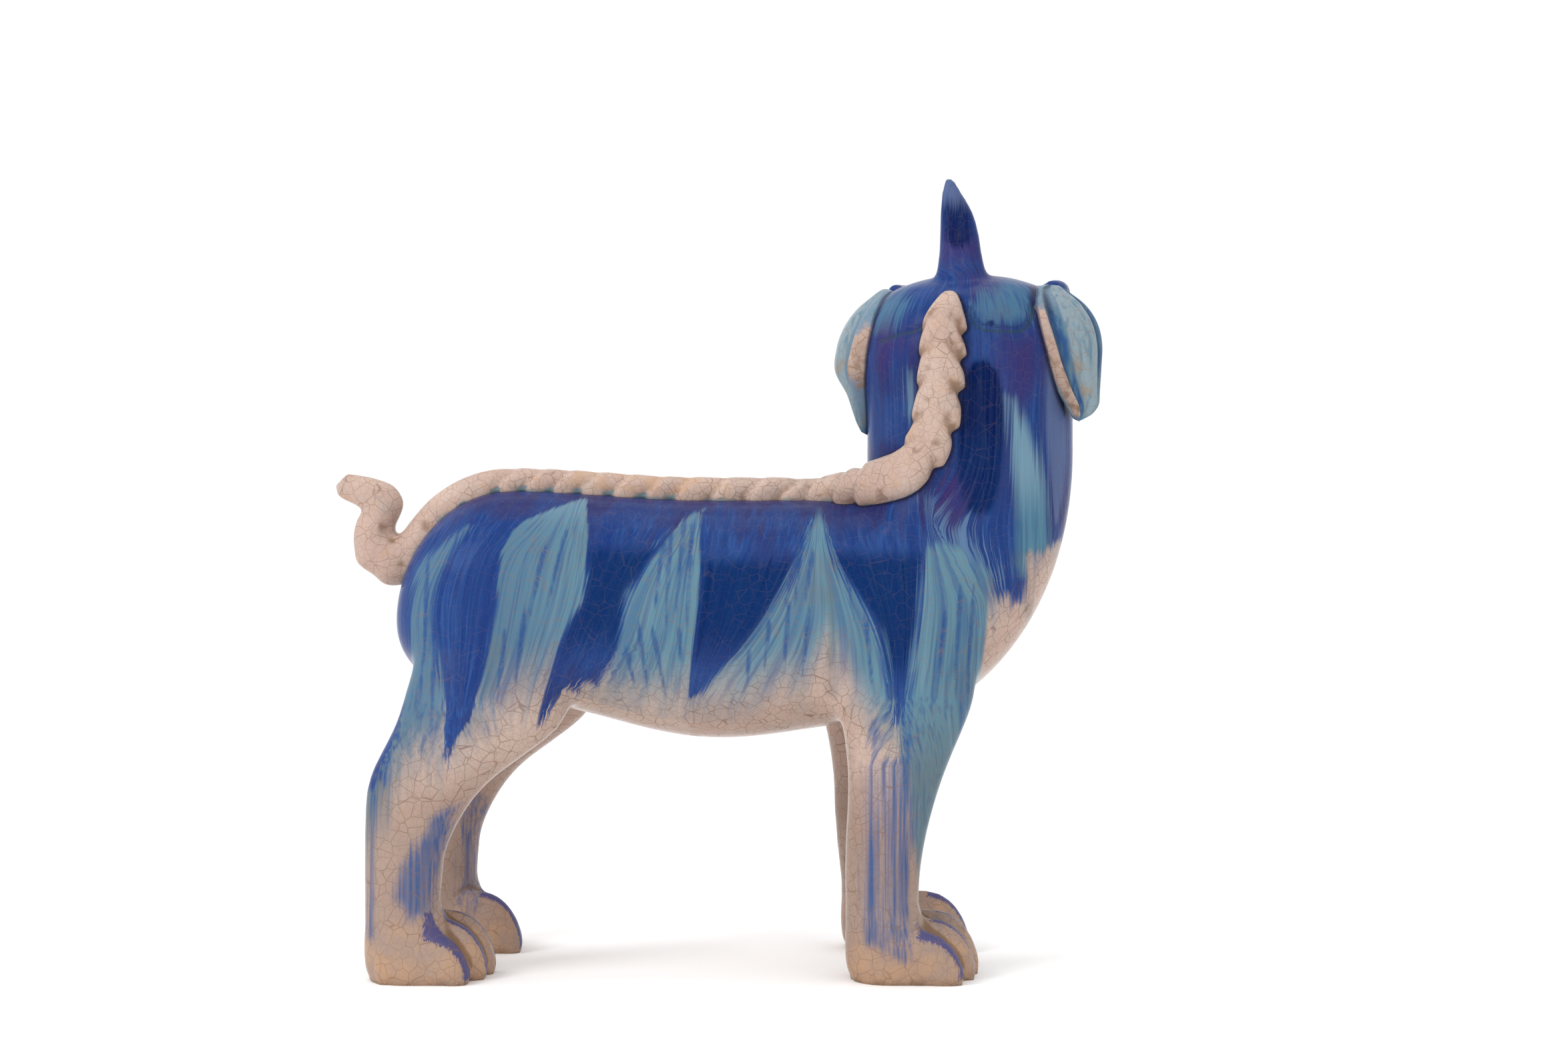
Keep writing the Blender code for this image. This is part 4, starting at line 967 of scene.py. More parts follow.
RIGHT_FOLDS = (  # place across, from the inner edge at -1 to the outer at 1, and fullness of the back there
    (-1.0, 1.5),
    (-0.88, 1.7),
    (-0.76, 0.95),
    (-0.6, 0.55),
    (-0.4, 0.52),
    (-0.22, 0.8),
    (0.05, 1.02),
    (0.45, 1.08),
    (0.64, 0.97),
    (0.72, 0.74),
    (0.8, 1.15),
    (1.0, 1.4),
)
LEFT_FOLDS = (  # a wider inner lobe, and its valley nearer the middle
    (-1.0, 1.3),
    (-0.8, 1.35),
    (-0.55, 1.1),
    (-0.36, 0.6),
    (-0.2, 0.42),
    (-0.04, 0.66),
    (0.2, 1.02),
    (0.6, 1.1),
    (1.0, 1.2),
)
EAR_SPOTS = (  # x, z and radius of ochre tints where the glaze is thin
    (133.9, 227.4, 4.0), (136.8, 218.3, 3.6), (129.0, 216.0, 2.4), (58.3, 235.0, 1.8), (57.0, 229.0, 1.8),
    (55.6, 223.5, 1.8), (55.5, 208.0, 2.6), (46.0, 229.0, 3.5),
)
EAR_TEAL = colour(130, 146, 154)
EAR_TEAL_DEEP = colour(92, 122, 140)
EAR_BLUE = colour(48, 84, 132)
EAR_OLIVE = colour(146, 126, 100)
FOLD_SHADE = colour(34, 46, 78)

EARS = (("right", -1, RIGHT_EAR_END, RIGHT_FOLDS), ("left", 1, LEFT_EAR_END, LEFT_FOLDS))
ears = []
turns = np.linspace(0, 2 * math.pi, 112, endpoint=False)
reach, out = np.cos(turns), np.sin(turns)
for name, side, end_rows, folds in EARS:
    ear_rings, ear_marks = [], []
    rows = through(EAR_ROWS + end_rows, 96)
    fullness = np.where(out > 0, np.interp(reach, *zip(*folds)), 1.0)
    for i, (height, inner_x, inner_y, outer_x, outer_y, half_thick) in enumerate(rows):
        inner, outer = np.array([inner_x, inner_y, height]), np.array([outer_x, outer_y, height])
        centre, half = (inner + outer) / 2, (outer - inner) / 2
        thick = half_thick * unit([-half[1], half[0], 0])
        points = centre + reach[:, None] * half + (out * fullness)[:, None] * thick
        points[:, 1] *= side
        ear_rings.append(points)
        up = 1 - i / (len(rows) - 1)
        lobe = 1.5 - np.hypot(max(height - 38.5, 0.0) / 6, clamp(np.abs(reach + 0.9) / 0.26) * 0.5)
        place_across = reach
        if side > 0:
            lobe = 1.5 - np.hypot((height - 27.5) / 11.5, (reach + 1) / 0.62)
            place_across = np.interp(reach, (-1.0, -0.42, -0.04, 1.0), (-1.0, -0.76, -0.3, 1.0))
        ear_marks += [(a, b, up, c) for a, b, c in zip(place_across, out, lobe)]
    height, inner_x, inner_y, outer_x, outer_y, half_thick = rows[-1]
    tip = ((inner_x + outer_x) / 2, (inner_y + outer_y) / 2 * side, height - half_thick / 2)
    points, faces = lofted(ear_rings, None, tip)
    ear = mesh_object(f"{name}_drooping_ear", turned(points), faces)
    ear_mesh = ear.data
    ear_marks += [(0.0, 1.0, 1.0, 0.0), (0.0, 1.0, 0.0, 0.0)]
    if side > 0:
        ear_mesh.flip_normals()
    ear_marks = np.array(ear_marks)
    ear_points = figure_points(ear_mesh)
    put_marks(
        ear_mesh, across=ear_marks[:, 0], back=ear_marks[:, 1], up=ear_marks[:, 2], lobe=ear_marks[:, 3],
        stain=hollows(ear_points, ear_mesh, edges_of(ear_mesh), 8), seat=gaps_to(skin_tree, ear_points),
        ochre=spots(ear_points, EAR_SPOTS, 30.0) * (ear_marks[:, 1] > 0),
    )
    ears.append((ear, ear_points))

ear_glaze, start, place = glaze("ear glaze")
mottle = place.noise(0.3, 3.0)
across = mark(start, "across") + (place.noise(0.12, 2.0) - 0.5) * 0.1
up = mark(start, "up")
back = mark(start, "back").step(-0.15, 0.1)
surface, net, dirt_and_shade = cream_body(place, mark(start, "stain") * 1.5, 0.15)
grain = place.stretched((1.0, 1.0, 0.14)).noise(0.5, 3.0)
blue = grain.step(0.35, 0.7).between(EAR_BLUE, EAR_TEAL_DEEP)
teal = grain.step(0.45, 0.75).between(EAR_TEAL, EAR_TEAL_DEEP).coats(
    (EAR_OLIVE, frayed(start, "ochre", 0.25, 1.2, (mottle, 2.0)) * 0.6),
    (CRACK_BROWN, crackle(place, 4.6, 0.1) * 0.4),
)
off_lobe = 1 - frayed(start, "lobe", 0.2, 0.8, (mottle, 1.2))
on_roll = (across.step(-0.36, -0.24) + (1 - back)).least(1.0)
rim = (across.step(0.68, 0.76) * up.step(0.3, 0.5) + (1 - up.step(0.0, 0.1))).least(1.0)
rim_line = across.step(0.65, 0.71) * (1 - across.step(0.73, 0.79)) * up.step(0.3, 0.5) * back
# The dark in the furrow between rim and roll, along the outer rim and where the ear sits on the head is
# painted shade.
surface = surface.coats(
    (STAIN_BROWN, (1 - up.step(0.35, 0.75)) * (0.25 + mottle.step(0.4, 0.65) * 0.45)),
    (blue, across.step(-0.8, -0.72).most(off_lobe)),
    (FOLD_SHADE, across.step(-0.8, -0.7) * (1 - across.step(-0.62, -0.4)) * 0.6),
    (teal, on_roll.most(off_lobe * 0.6)),
    (blue, rim * 0.75),
    (FOLD_SHADE, rim_line * 0.6),
    (FOLD_SHADE, (1 - mark(start, "seat").step(0.2, 1.1)) * 0.75),
)
fire(ear_glaze, start, surface, dirt_and_shade * 0.2 + 0.18, place.noise(0.4, 3.0) - net * 0.2, 0.0001)
for ear, _ in ears:
    ear.data.materials.append(ear_glaze)
    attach(ear, "root")
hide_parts("right_ear")
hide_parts("left_ear")


# Glaze on the skin. The fired body carries a cream crackle glaze, a turquoise wash over its upper part, and
# cobalt laid over that in hanging tongues with a loaded brush. The second coat stops at a level edge.

TONGUES = (  # left edge and right edge, each down from the top, as (x, z) on the flank
    (
        ((-150, 230), (-150, 60)),
        ((-94, 167), (-106, 158), (-114, 147), (-116, 101), (-119, 88), (-126, 71)),
    ),
    (
        (
            (-94, 167), (-103, 150), (-106, 140), (-106, 131), (-102, 111), (-99.5, 95), (-98.5, 82),
            (-98.6, 77),
        ),
        (
            (-50.6, 178), (-66, 172), (-77, 164), (-80.7, 147), (-80.7, 141), (-83, 127.6), (-85.6, 114),
            (-90, 97.5), (-95.5, 89), (-98.4, 77),
        ),
    ),
    (
        ((-50, 178), (-49, 172), (-49, 145), (-55, 131), (-60.4, 118), (-65.3, 100), (-66.3, 92.3)),
        (
            (-5, 174), (-14.5, 169), (-23.1, 157), (-29.2, 147), (-33.4, 141), (-35.3, 127.6), (-37.8, 117),
            (-42.7, 111), (-45.2, 108), (-49.6, 109), (-52.8, 105), (-57.7, 106.7), (-64.8, 94),
        ),
    ),
    (
        ((-5, 174), (-6.7, 171), (-7.1, 145), (-9.8, 121), (-10.8, 103.5)),
        ((38, 173), (26.7, 149), (18.4, 134), (9.8, 121), (0.5, 113), (-5.2, 106.5), (-10.6, 103.5)),
    ),
    (
        ((38, 173), (40, 166), (44.6, 152), (52, 141), (58.6, 130), (61.5, 117), (65, 95)),
        ((76.5, 160), (74.5, 143), (73.8, 130), (71, 117), (69, 103), (66, 95)),
    ),
)
NECK_COBALT = (
    (40, 235), (40, 185), (66, 176), (77.5, 160), (84, 161), (92, 157), (99.5, 150), (101, 143), (104, 139),
    (106, 143), (108.5, 142), (110, 138), (113, 140), (114, 147), (113, 157), (123.7, 158), (126, 160),
    (150, 165), (150, 330), (20, 330),
)
SHOULDER_EDGE = ((77.5, 160), (90, 155), (97, 145), (97, 120), (95, 90))
NECK_DROP = (
    (99, 229.5), (94, 228.5), (90, 222), (88, 205), (87.5, 190), (88.5, 178), (92, 171.5), (97, 170.5),
    (102, 173), (105.5, 184), (106.6, 200), (106.2, 215), (104, 225),
)
NECK_STREAK = (  # where the neck's cobalt parts and the turquoise shows
    (107, 215), (110, 215), (113.5, 206), (117.5, 196), (121.5, 182), (123.5, 168), (124, 154), (112, 150),
    (111.5, 168), (109.5, 184), (108.3, 198),
)
NECK_SHEEN = ((121, 236), (126, 233), (131, 208), (130, 180), (127, 168), (124, 176), (121, 205))
SECOND_COATS = (  # tongue, top edge, and where it fades out
    (2, 161.0, 118.0), (3, 157.0, 116.0), (4, 159.0, 108.0),
)
WASH_EDGE = (  # x, height that the turquoise runs down to
    (-150, 44), (-130, 46), (-124, 62), (-116, 78), (-105, 86), (-90, 94), (-75, 108), (-60, 116), (-40, 110),
    (-20, 105), (0, 106), (15, 110), (30, 114), (40, 122), (48, 118), (56, 98), (66, 90), (70, 70), (74, 40),
    (80, 32), (92, 32), (97, 100), (100, 138), (110, 152), (120, 163), (150, 168),
)
WINDOWS = (  # places where the cobalt is thin and the turquoise shows
    ((96, 256), (108, 260), (117, 256), (118, 245), (108, 241), (98, 242), (94, 248)),
    ((60, 253), (70, 258), (72, 250), (64, 238), (58, 240)),
    ((70.2, 225), (73, 225), (73.6, 211), (70.2, 209)),
)
GREEN_DRIPS = (((41.8, 147), (41.5, 106)), ((115, 150), (117, 132)))
DARK_DROPS = ((100.9, 242.2, 1.6),)
HORN_BACK = 14.0  # from the head's middle to the horn's
HORN_X = NECK_X - HORN_BACK * math.cos(HEAD_TURN)
HORN_Y = -HORN_BACK * math.sin(HEAD_TURN)
HORN_FOOT_Z = NECK_JOINT_Z + CROWN_HEIGHT
HIND_PATCH = (
    (-95, 65), (-98, 59), (-101.5, 46), (-103, 39), (-105.5, 26), (-112, 23.5), (-118, 32), (-115.5, 43),
    (-110, 52), (-103, 62),
)
FORE_PATCH = ((54, 80), (70, 84), (71, 60), (70, 20), (69, 9), (62, 12), (54, 18), (53.5, 40))
FAR_STREAK = ((-97, 58), (-101, 35), (-99, 20))  # on the inner side of the far hind leg
BRUSH_LINES = (  # thin strokes down the legs
    ((-126.5, 98), (-126, 60), (-127, 18)),
    ((-121, 90), (-122, 74)),
    ((57.5, 96), (57, 60), (55, 16)),
    ((70, 112), (69.5, 80), (68.5, 34)),
)

TURQUOISE = colour(80, 122, 140)
TURQUOISE_DEEP = colour(48, 86, 122)
TURQUOISE_PALE = colour(118, 148, 164)
TURQUOISE_GREY = colour(90, 100, 102)
COBALT = colour(26, 50, 108)
COBALT_BRIGHT = colour(44, 76, 132)
COBALT_DEEP = colour(0, 34, 84)
NAVY = colour(0, 16, 66)
AUBERGINE = colour(38, 34, 84)
HAIR_BLUE = colour(36, 70, 124)
SLATE = colour(42, 80, 130)
PALE_TIP_AND_SHEEN = colour(84, 98, 134)
PLUM = colour(58, 34, 88)
GROOVE_GREEN = colour(44, 66, 82)
CLAW_BLUE = colour(52, 62, 118)
RIDGE_SHADOW = colour(30, 28, 54)
DARKER_LOW_CREAM = colour(130, 110, 98)

FLANK_HAIRS = (  # foot and head, in (x, z), of the brush's last hairs in the turquoise
    ((-23.2, 133.8), (-20.9, 154.4)), ((-18.8, 130.7), (-17.7, 159.1)), ((-15.3, 132.3), (-13.0, 163.9)),
    ((-11.4, 129.1), (-9.8, 159.1)), ((-25.6, 105.4), (-28.0, 124.4)), ((-19.3, 105.4), (-22.5, 122.8)),
    ((-30.4, 107.0), (-32.7, 118.0)), ((-13.0, 114.9), (-13.8, 125.9)), ((24.2, 137.0), (28.1, 152.8)),
    ((28.1, 137.0), (30.5, 156.0)), ((32.1, 138.6), (34.4, 152.8)), ((17.1, 113.3), (18.6, 127.5)),
    ((24.2, 111.7), (25.7, 130.7)), ((31.3, 111.7), (32.9, 129.1)), ((10.7, 108.6), (11.5, 118.0)),
    ((50.2, 132.3), (47.1, 152.8)), ((81.8, 111.7), (83.4, 130.7)), ((87.4, 105.4), (88.9, 133.8)),
    ((92.1, 99.1), (93.7, 130.7)), ((-69.1, 133.8), (-65.1, 152.8)), ((-62.7, 137.0), (-58.0, 157.5)),
    ((-75.0, 104.0), (-72.0, 128.0)), ((-81.0, 100.0), (-79.0, 121.0)), ((57.0, 108.0), (55.0, 128.0)),
    ((-110.0, 100.0), (-108.5, 140.0)), ((-104.0, 84.0), (-105.0, 118.0)),
)
DRY_PATCH = (  # where the brush ran dry
    (76, 178), (84, 177), (97, 164), (106, 150), (101, 143), (90, 153), (79, 160),
)
PLUM_PATCHES = (
    ((107, 237), (118, 238), (119, 222), (112, 210), (107, 216), (105, 232)),
    ((58, 243), (71, 240), (71, 234), (60, 226)),
    ((84, 182), (90, 182), (88, 168), (83, 170)),
    ((93, 263), (105, 262), (102, 255), (94, 253)),
    ((84, 268), (99, 268), (98, 276), (85, 277)),
)


def strokes(points, lines, half_width, longer=0.0):
    """Signed distance into thin strokes that are fullest at the head and taper to the foot."""
    found = np.full(len(points), -9.0)
    for foot, head in lines:
        foot, run = np.array(foot), (np.array(head) - np.array(foot)) * (1 + longer)
        share = clamp(((points - foot) @ run) / (run @ run))
        gap = np.linalg.norm(points - foot - share[:, None] * run, axis=1)
        found = np.maximum(found, half_width * np.sqrt(share) * (1 - share**8) - gap)
    return found


def in_outline(points, outline):
    """Signed distance in millimetres to a closed outline in (x, z), positive inside."""
    outline = np.array(outline, float)
    inside = np.zeros(len(points), bool)
    for a, b in zip(outline, np.roll(outline, -1, axis=0)):
        crosses = (a[1] > points[:, 1]) != (b[1] > points[:, 1])
        rise = b[1] - a[1] if b[1] != a[1] else 1e-9
        inside ^= crosses & (points[:, 0] < a[0] + (points[:, 1] - a[1]) * (b[0] - a[0]) / rise)
    gap = from_line(points, np.vstack([outline, outline[:1]]))
    return np.where(inside, gap, -gap)


def from_lines(points, lines):
    return np.min([from_line(points, line) for line in lines], axis=0)


def in_outlines(points, outlines):
    return np.max([in_outline(points, outline) for outline in outlines], axis=0)


# Each coat is a signed distance in millimetres, positive inside. On the far side the pattern is shifted and
# swayed a little, as a hand would paint it.
far = smooth_step(skin[:, 1], -12, 22)
skin_x = skin[:, 0] + far * (4 * np.sin(skin[:, 2] / 17 + 1) + 5)
skin_z = skin[:, 2]
painted = np.stack([skin_x, skin_z], axis=1)
tongue_marks = []
for left, right in TONGUES:
    edges = (through(left, 2 * len(left)).tolist(), through(right, 2 * len(right)).tolist())
    outline = [(left[0][0] - 40, 240), *edges[0], *edges[1][::-1], (right[0][0] + 40, 240)]
    tongue_marks.append(in_outline(painted, outline))
cobalt = np.max([*tongue_marks, in_outline(painted, NECK_COBALT)], axis=0)
drop = in_outline(painted, through(NECK_DROP, 30))
second = drop.copy()
neck_streak = in_outline(painted, through(NECK_STREAK, 30)) - 40 * far
flank_hairs = strokes(painted, FLANK_HAIRS, 1.15, 0.5)
dry_patch = in_outline(painted, through(DRY_PATCH, 20))
plum = in_outlines(painted, PLUM_PATCHES)
for index, top, foot in SECOND_COATS:
    levels = np.minimum((top - skin_z) * 0.5, (skin_z - foot) * 0.2)
    second = np.maximum(second, np.minimum(tongue_marks[index], levels))
wash = skin_z - np.interp(skin_x, *np.array(WASH_EDGE, float).T)
crisp_gap = from_lines(painted, (TONGUES[1][1], TONGUES[2][0], TONGUES[3][0]))
loose = (1 - 0.7 * np.exp(-((crisp_gap / 4) ** 2))) * blend(1.0, 0.6, smooth_step(skin_z, 165, 195))

# The coats stop short on the legs' inner sides and under the belly, where the brush did not reach.
inner_side = smooth_step(-skin_out[:, 1] * np.sign(skin[:, 1]), 0.0, 0.5) * clamp((118 - skin_z) / 12)
underside = smooth_step(-skin_out[:, 2], 0.8, 0.95) * clamp((110 - skin_z) / 8) * (np.abs(skin[:, 1]) < 40)
bare = np.maximum(inner_side, underside)
cobalt -= 30 * bare
second -= 30 * bare
wash -= 60 * bare

# On the face, the muzzle and the beard are turquoise, the nose is cobalt and the jaw is left cream.
face_x, face_y, face_z = in_head(skin).T
on_snout = (1 - smooth_step(np.abs(face_y), 21, 28)) * (face_x > 20)
off_head = smooth_step(np.hypot(face_x / 44.5, face_y / 40.7), 1.0, 1.14) * on_snout
on_muzzle = off_head * smooth_step(face_z, 0, 3) * (1 - smooth_step(face_z, 24, 36))
off_neck = smooth_step(np.hypot(face_x, face_y), 39.5, 42.5) * on_snout
on_jaw = off_neck * (1 - smooth_step(face_z, -3, 0)) * smooth_step(face_z, -22, -19)
on_beard = off_neck * (1 - smooth_step(face_z, -22, -19)) * smooth_step(face_z, -37, -33)
off_nose = np.hypot(face_y / 14.5, (face_z - 33) / 9)
on_nose = smooth_step(face_x, 52, 58) * (1 - smooth_step(off_nose, 0.85, 1.15))
on_face = np.maximum.reduce([on_muzzle, on_jaw, on_beard])
cobalt = np.where(on_face > 0, np.minimum(cobalt, 10.0), cobalt) - 24 * on_face + 44 * on_nose
wash += 20 * on_muzzle - 60 * on_jaw
window = in_outlines(painted, WINDOWS) - 40 * far
off_horn = np.hypot(skin_x - HORN_X, skin[:, 1] - HORN_Y)
horn_share = smooth_step(skin_z, HORN_FOOT_Z - 3, HORN_FOOT_Z + 3) * (off_horn < 16)
# A pale strip down the front of the neck, on its right side, is a painted sheen; it takes the horn tip's pale
# colour.
sheen = smooth_step(in_outline(painted, through(NECK_SHEEN, 20)), -2.5, 3.0) * (skin[:, 1] < 0)
horn_tip_and_sheen = np.maximum(horn_share * smooth_step(skin_z, 280, 296), sheen)
groove_z = np.interp(skin_x, *np.array(CAP_GROOVE, float).T)
over_groove = np.exp(-(((groove_gap - 1.9) / 1.3) ** 2)) * (skin_z > groove_z) * on_head * rear
deep = np.maximum(over_groove * 0.6, spots(skin, DARK_DROPS, 0.0))
# Painted shade: the horn's thumbed hollow is laid in dark navy.
deep = np.maximum(deep, np.sqrt(hollow) * 1.4)
drop_depth = blend(0.55, 0.95, smooth_step(skin_z, 190, 215)) * (1 - far)
deep = np.maximum(deep, smooth_step(drop, -1.0, 3.0) * drop_depth)

# The legs carry slate patches and thin strokes, and two drips run down from the wash.
fore_patch = np.minimum(in_outline(painted, FORE_PATCH), 0.8)
slate = np.maximum(in_outline(painted, HIND_PATCH), fore_patch) - 12 * inner_side
thin_lines = 1.2 - from_lines(painted, BRUSH_LINES) - 12 * inner_side
inner_streak = np.minimum(3.5 - from_line(skin[:, [0, 2]], FAR_STREAK), -0.3) - 20 * (skin[:, 1] < 8)
slate = np.max([slate, thin_lines, inner_streak], axis=0)
drips = 1.6 - from_lines(painted, GREEN_DRIPS) - 20 * inner_side

# Half width of each claw and its place across, on the outer, middle and inner toe.
CLAWS = {1: (3.1, 1.6), 0: (2.2, 0.4), -1: (2.3, -0.9)}
claw = np.full(len(skin), -20.0)
for side_y, side, toes in paws:
    for toe_root, heading, length, outer in toes:
        rel = skin - toe_root
        along = rel @ heading
        across = (rel @ np.array([-heading[1], heading[0], 0])) * side
        width, offset = CLAWS[outer]
        reach = np.minimum((along - (length - 17)) * 0.6, width - np.abs(across - offset))
        reach = np.minimum(reach, np.minimum((skin_z - 3) * 0.5 + 0.6, ANKLE_Z - 1 - skin_z))
        reach = np.minimum(reach, length + 3 - along)
        claw = np.maximum(claw, np.where(np.abs(skin[:, 1] - side_y) < 26, reach, -20))

# The hairs follow the tongues as these narrow, so their place across is worked out between these edges.
TONGUE_LEAST = 3.0
RUMP_RADIUS = 43.0
NECK_RADIUS = 39.0
HORN_RADIUS = 8.0
FRONT_X = 112.0
fan_lines = [TONGUES[0][1], *(line for tongue in TONGUES[1:] for line in tongue), SHOULDER_EDGE]


def fan_bounds(heights):
    """Where the tongues' edges lie at each height, drawn smooth and kept apart, then the chest's front."""
    bounds = []
    for line in fan_lines:
        line = np.array(sorted(line, key=lambda place: place[1]), float)
        taps = [np.interp(heights + step, line[:, 1], line[:, 0]) for step in (-14, -7, 0, 7, 14)]
        least = bounds[-1] + TONGUE_LEAST if bounds else -1e3
        bounds.append(np.maximum(np.mean(taps, axis=0), least))
    return [*bounds, np.full(len(heights), FRONT_X)]


fan_here = fan_bounds(skin_z)
fan_middle = [float(bound[0]) for bound in fan_bounds(np.array([140.0]))]
rump_x, rump_y = (HIP_X - skin[:, 0]) / (HIP_X - RUMP_X), np.abs(skin[:, 1]) / HIP_HALF_WIDTH
rump_reach = np.hypot(rump_x, rump_y) + 1e-6
fan_start = (HIP_X - fan_here[0]) / (HIP_X - RUMP_X)
rump_turn = np.arctan2(rump_x, rump_y) - np.arcsin(clamp(fan_start / rump_reach))
fanned = fan_middle[0] - RUMP_RADIUS * rump_reach * rump_turn
for k in range(len(fan_here) - 1):
    share = (skin_x - fan_here[k]) / (fan_here[k + 1] - fan_here[k])
    fanned = np.where(share > 0, fan_middle[k] + share * (fan_middle[k + 1] - fan_middle[k]), fanned)
fanned = np.where(skin_x > FRONT_X, skin_x, fanned)
round_neck = NECK_X + NECK_RADIUS * np.arctan2(skin[:, 0] - NECK_X, np.abs(skin[:, 1]) + 1e-3)
round_horn = NECK_X + HORN_RADIUS * np.arctan2(skin[:, 0] - HORN_X, np.abs(skin[:, 1] - HORN_Y) + 1e-3)
to_neck = smooth_step(skin_z, 158, 200) * smooth_step(skin[:, 0], 50, 62)
on_legs = clamp((105 - skin_z) / 25) * np.maximum(smooth_step(-skin_x, 70, 85), smooth_step(skin_x, 35, 45))
around = blend(blend(blend(fanned, skin[:, 0], on_legs), round_neck, to_neck), round_horn, horn_share)
off_shank = skin[:, 1] - np.sign(skin[:, 1]) * LEG_SPREAD / 2
outwards = skin[:, 1] * 0.12 + on_legs * 0.5 * off_shank + 3.0 * far
downwards = 200 - skin_z + 0.6 * np.abs(skin[:, 1]) * (1 - on_legs)
brush = np.stack([around, outwards, downwards], axis=1)

coil_tree = search_tree(coil_points, coil_mesh)
near_coil = gaps_to(coil_tree, skin, 8.0)
near_ear = np.full(len(skin), 8.0)
for ear, ear_points in ears:
    near_ear = np.minimum(near_ear, gaps_to(search_tree(ear_points, ear.data), skin, 8.0))
# The creases are darkened with brown that is partly dirt and partly painted shade, most at the paws.
creases = hollows(skin, skin_mesh, skin_edges) * (1 + 2.0 * (1 - smooth_step(skin_z, 22, 34)))
put_marks(
    skin_mesh, cobalt=cobalt, second=second, wash=wash, window=window, slate=slate, claw=claw, brush=brush,
    seam=np.minimum(near_coil, near_ear * 0.6), groove=skin_groove, stain=creases, parting=neck_streak,
    top=skin_z, loose=loose, deep=deep, tip=horn_tip_and_sheen, drips=drips, leg=on_legs, strokes=flank_hairs,
    plum=plum, dry=dry_patch, rearward=smooth_step(-skin_x, 45, 85),
)

# The coats are laid in the order in which they were painted: body with stains and painted shade in its
# creases, turquoise, cobalt, then marks.
skin_glaze, start, place = glaze("cobalt and turquoise glaze")
hairs = mark(start, "brush", "Vector")
streak = hairs.stretched((0.36, 0.3, 0.011)).noise(1.0, 2.0)
hair = hairs.stretched((1.1, 0.9, 0.022)).noise(1.0, 2.0)
fine_hair = hairs.stretched((2.6, 2.2, 0.05)).noise(1.0, 1.0)
broad = place.noise(0.035, 2.0)
ragged = (streak - 0.5) * 7.0 + (hair - 0.5) * 8.0 + (fine_hair - 0.5) * 2.0
loose_mark = mark(start, "loose")
blue_share = ((mark(start, "cobalt") + ragged * loose_mark) * (1.4 - loose_mark)).step(-0.7, 0.7)
wash_share = frayed(start, "wash", -20.0, 16.0, (streak, 26.0), (hair, 10.0))

surface, net, dirt_and_shade = cream_body(place, mark(start, "stain") * 1.3, 0.2)
height_mark = mark(start, "top")
# The cream is painted darker towards the bottom of the figure.
low = 1 - height_mark.step(50.0, 90.0)
paw_tan = (1 - height_mark.step(6.0, 30.0)) * 0.5 + (place.noise(0.12, 3.0) - 0.5) * 1.4
sole_dirt = (1 - height_mark.step(0.5, 5.0)) * place.noise(0.2, 3.0).step(0.4, 0.7)
pale = height_mark.step(165.0, 190.0) * (1 - height_mark.step(218.0, 228.0))
turquoise = (hair * 0.6 + streak * 0.4).step(0.45, 0.7).between(TURQUOISE, TURQUOISE_DEEP).coats(
    (TURQUOISE_DEEP, mark(start, "rearward") * 0.5),
    (TURQUOISE_GREY, broad.step(0.5, 0.7) * 0.35 + mark(start, "leg") * 0.5),
    (TURQUOISE_PALE, pale * 0.7 + streak.step(0.55, 0.75) * 0.3),
)
lines = hairs.stretched((0.3, 0.28, 0.009)).noise(1.0, 1.0).step(0.57, 0.68)
thin = hairs.stretched((0.9, 0.8, 0.014)).noise(1.0, 1.0).step(0.6, 0.7)
lines = lines.most(thin * 0.8) * frayed(start, "wash", -14.0, 2.0, (streak, 30.0))
last_hairs = frayed(start, "strokes", -0.5, 0.6, (place.noise(0.25, 3.0), 1.2))
drip = frayed(start, "drips", -1.5, 2.5, (streak, 5.0), (place.noise(0.15, 3.0), 5.0))
slate_share = frayed(start, "slate", -2.6, 3.0, (hair, 6.0), (streak, 6.0))
surface = surface.coats(
    (DARKER_LOW_CREAM, 0.1 + low * 0.5 + (broad - 0.5) * 0.3),
    (OCHRE, paw_tan.step(0.1, 0.8) * 0.6),
    (STAIN_BROWN, sole_dirt * 0.4),
    (turquoise, wash_share * 0.95),
    (HAIR_BLUE, lines * 0.4),
    (HAIR_BLUE, last_hairs * 0.7),
    (TURQUOISE_GREY, drip * 0.4),
    (SLATE, slate_share * (0.32 + hair * 0.9).least(0.92)),
)

high = height_mark.step(155.0, 182.0) * (1 - height_mark.step(184.0, 200.0) * 0.6)
tone = (hair * 0.4 + streak * 0.4 + fine_hair * 0.2).step(0.42, 0.62)
purple = (high * 0.5 + broad.step(0.42, 0.62) * 0.3 + (streak - 0.5) * 1.8).step(0.1, 0.8)
second_share = frayed(start, "second", -0.8, 3.0, (hair, 4.0), (fine_hair, 2.0))
blue = tone.between(COBALT, COBALT_BRIGHT).coats(
    (AUBERGINE, purple * (1 - height_mark.step(226.0, 240.0) * 0.6) * 0.85),
    (COBALT_DEEP, (second_share * (0.65 + streak * 0.4)).least(1.0)),
    (turquoise, frayed(start, "window", -3.0, 4.0, (hair, 18.0)) * 0.62),
    (turquoise, frayed(start, "parting", -2.5, 3.0, (hair, 9.0), (streak, 9.0)) * 0.92),
    (TURQUOISE_PALE, frayed(start, "dry", 0.0, 7.0, (hair, 18.0), (fine_hair, 30.0)) * 0.4),
    (PLUM, frayed(start, "plum", -6.0, 6.0, (streak, 14.0)) * 0.6),
    (NAVY, frayed(start, "deep", 0.3, 0.9, (hair, 0.6)) * 0.85),
    (PALE_TIP_AND_SHEEN, frayed(start, "tip", 0.2, 1.0, (hair, 1.3)) * 0.85),
)
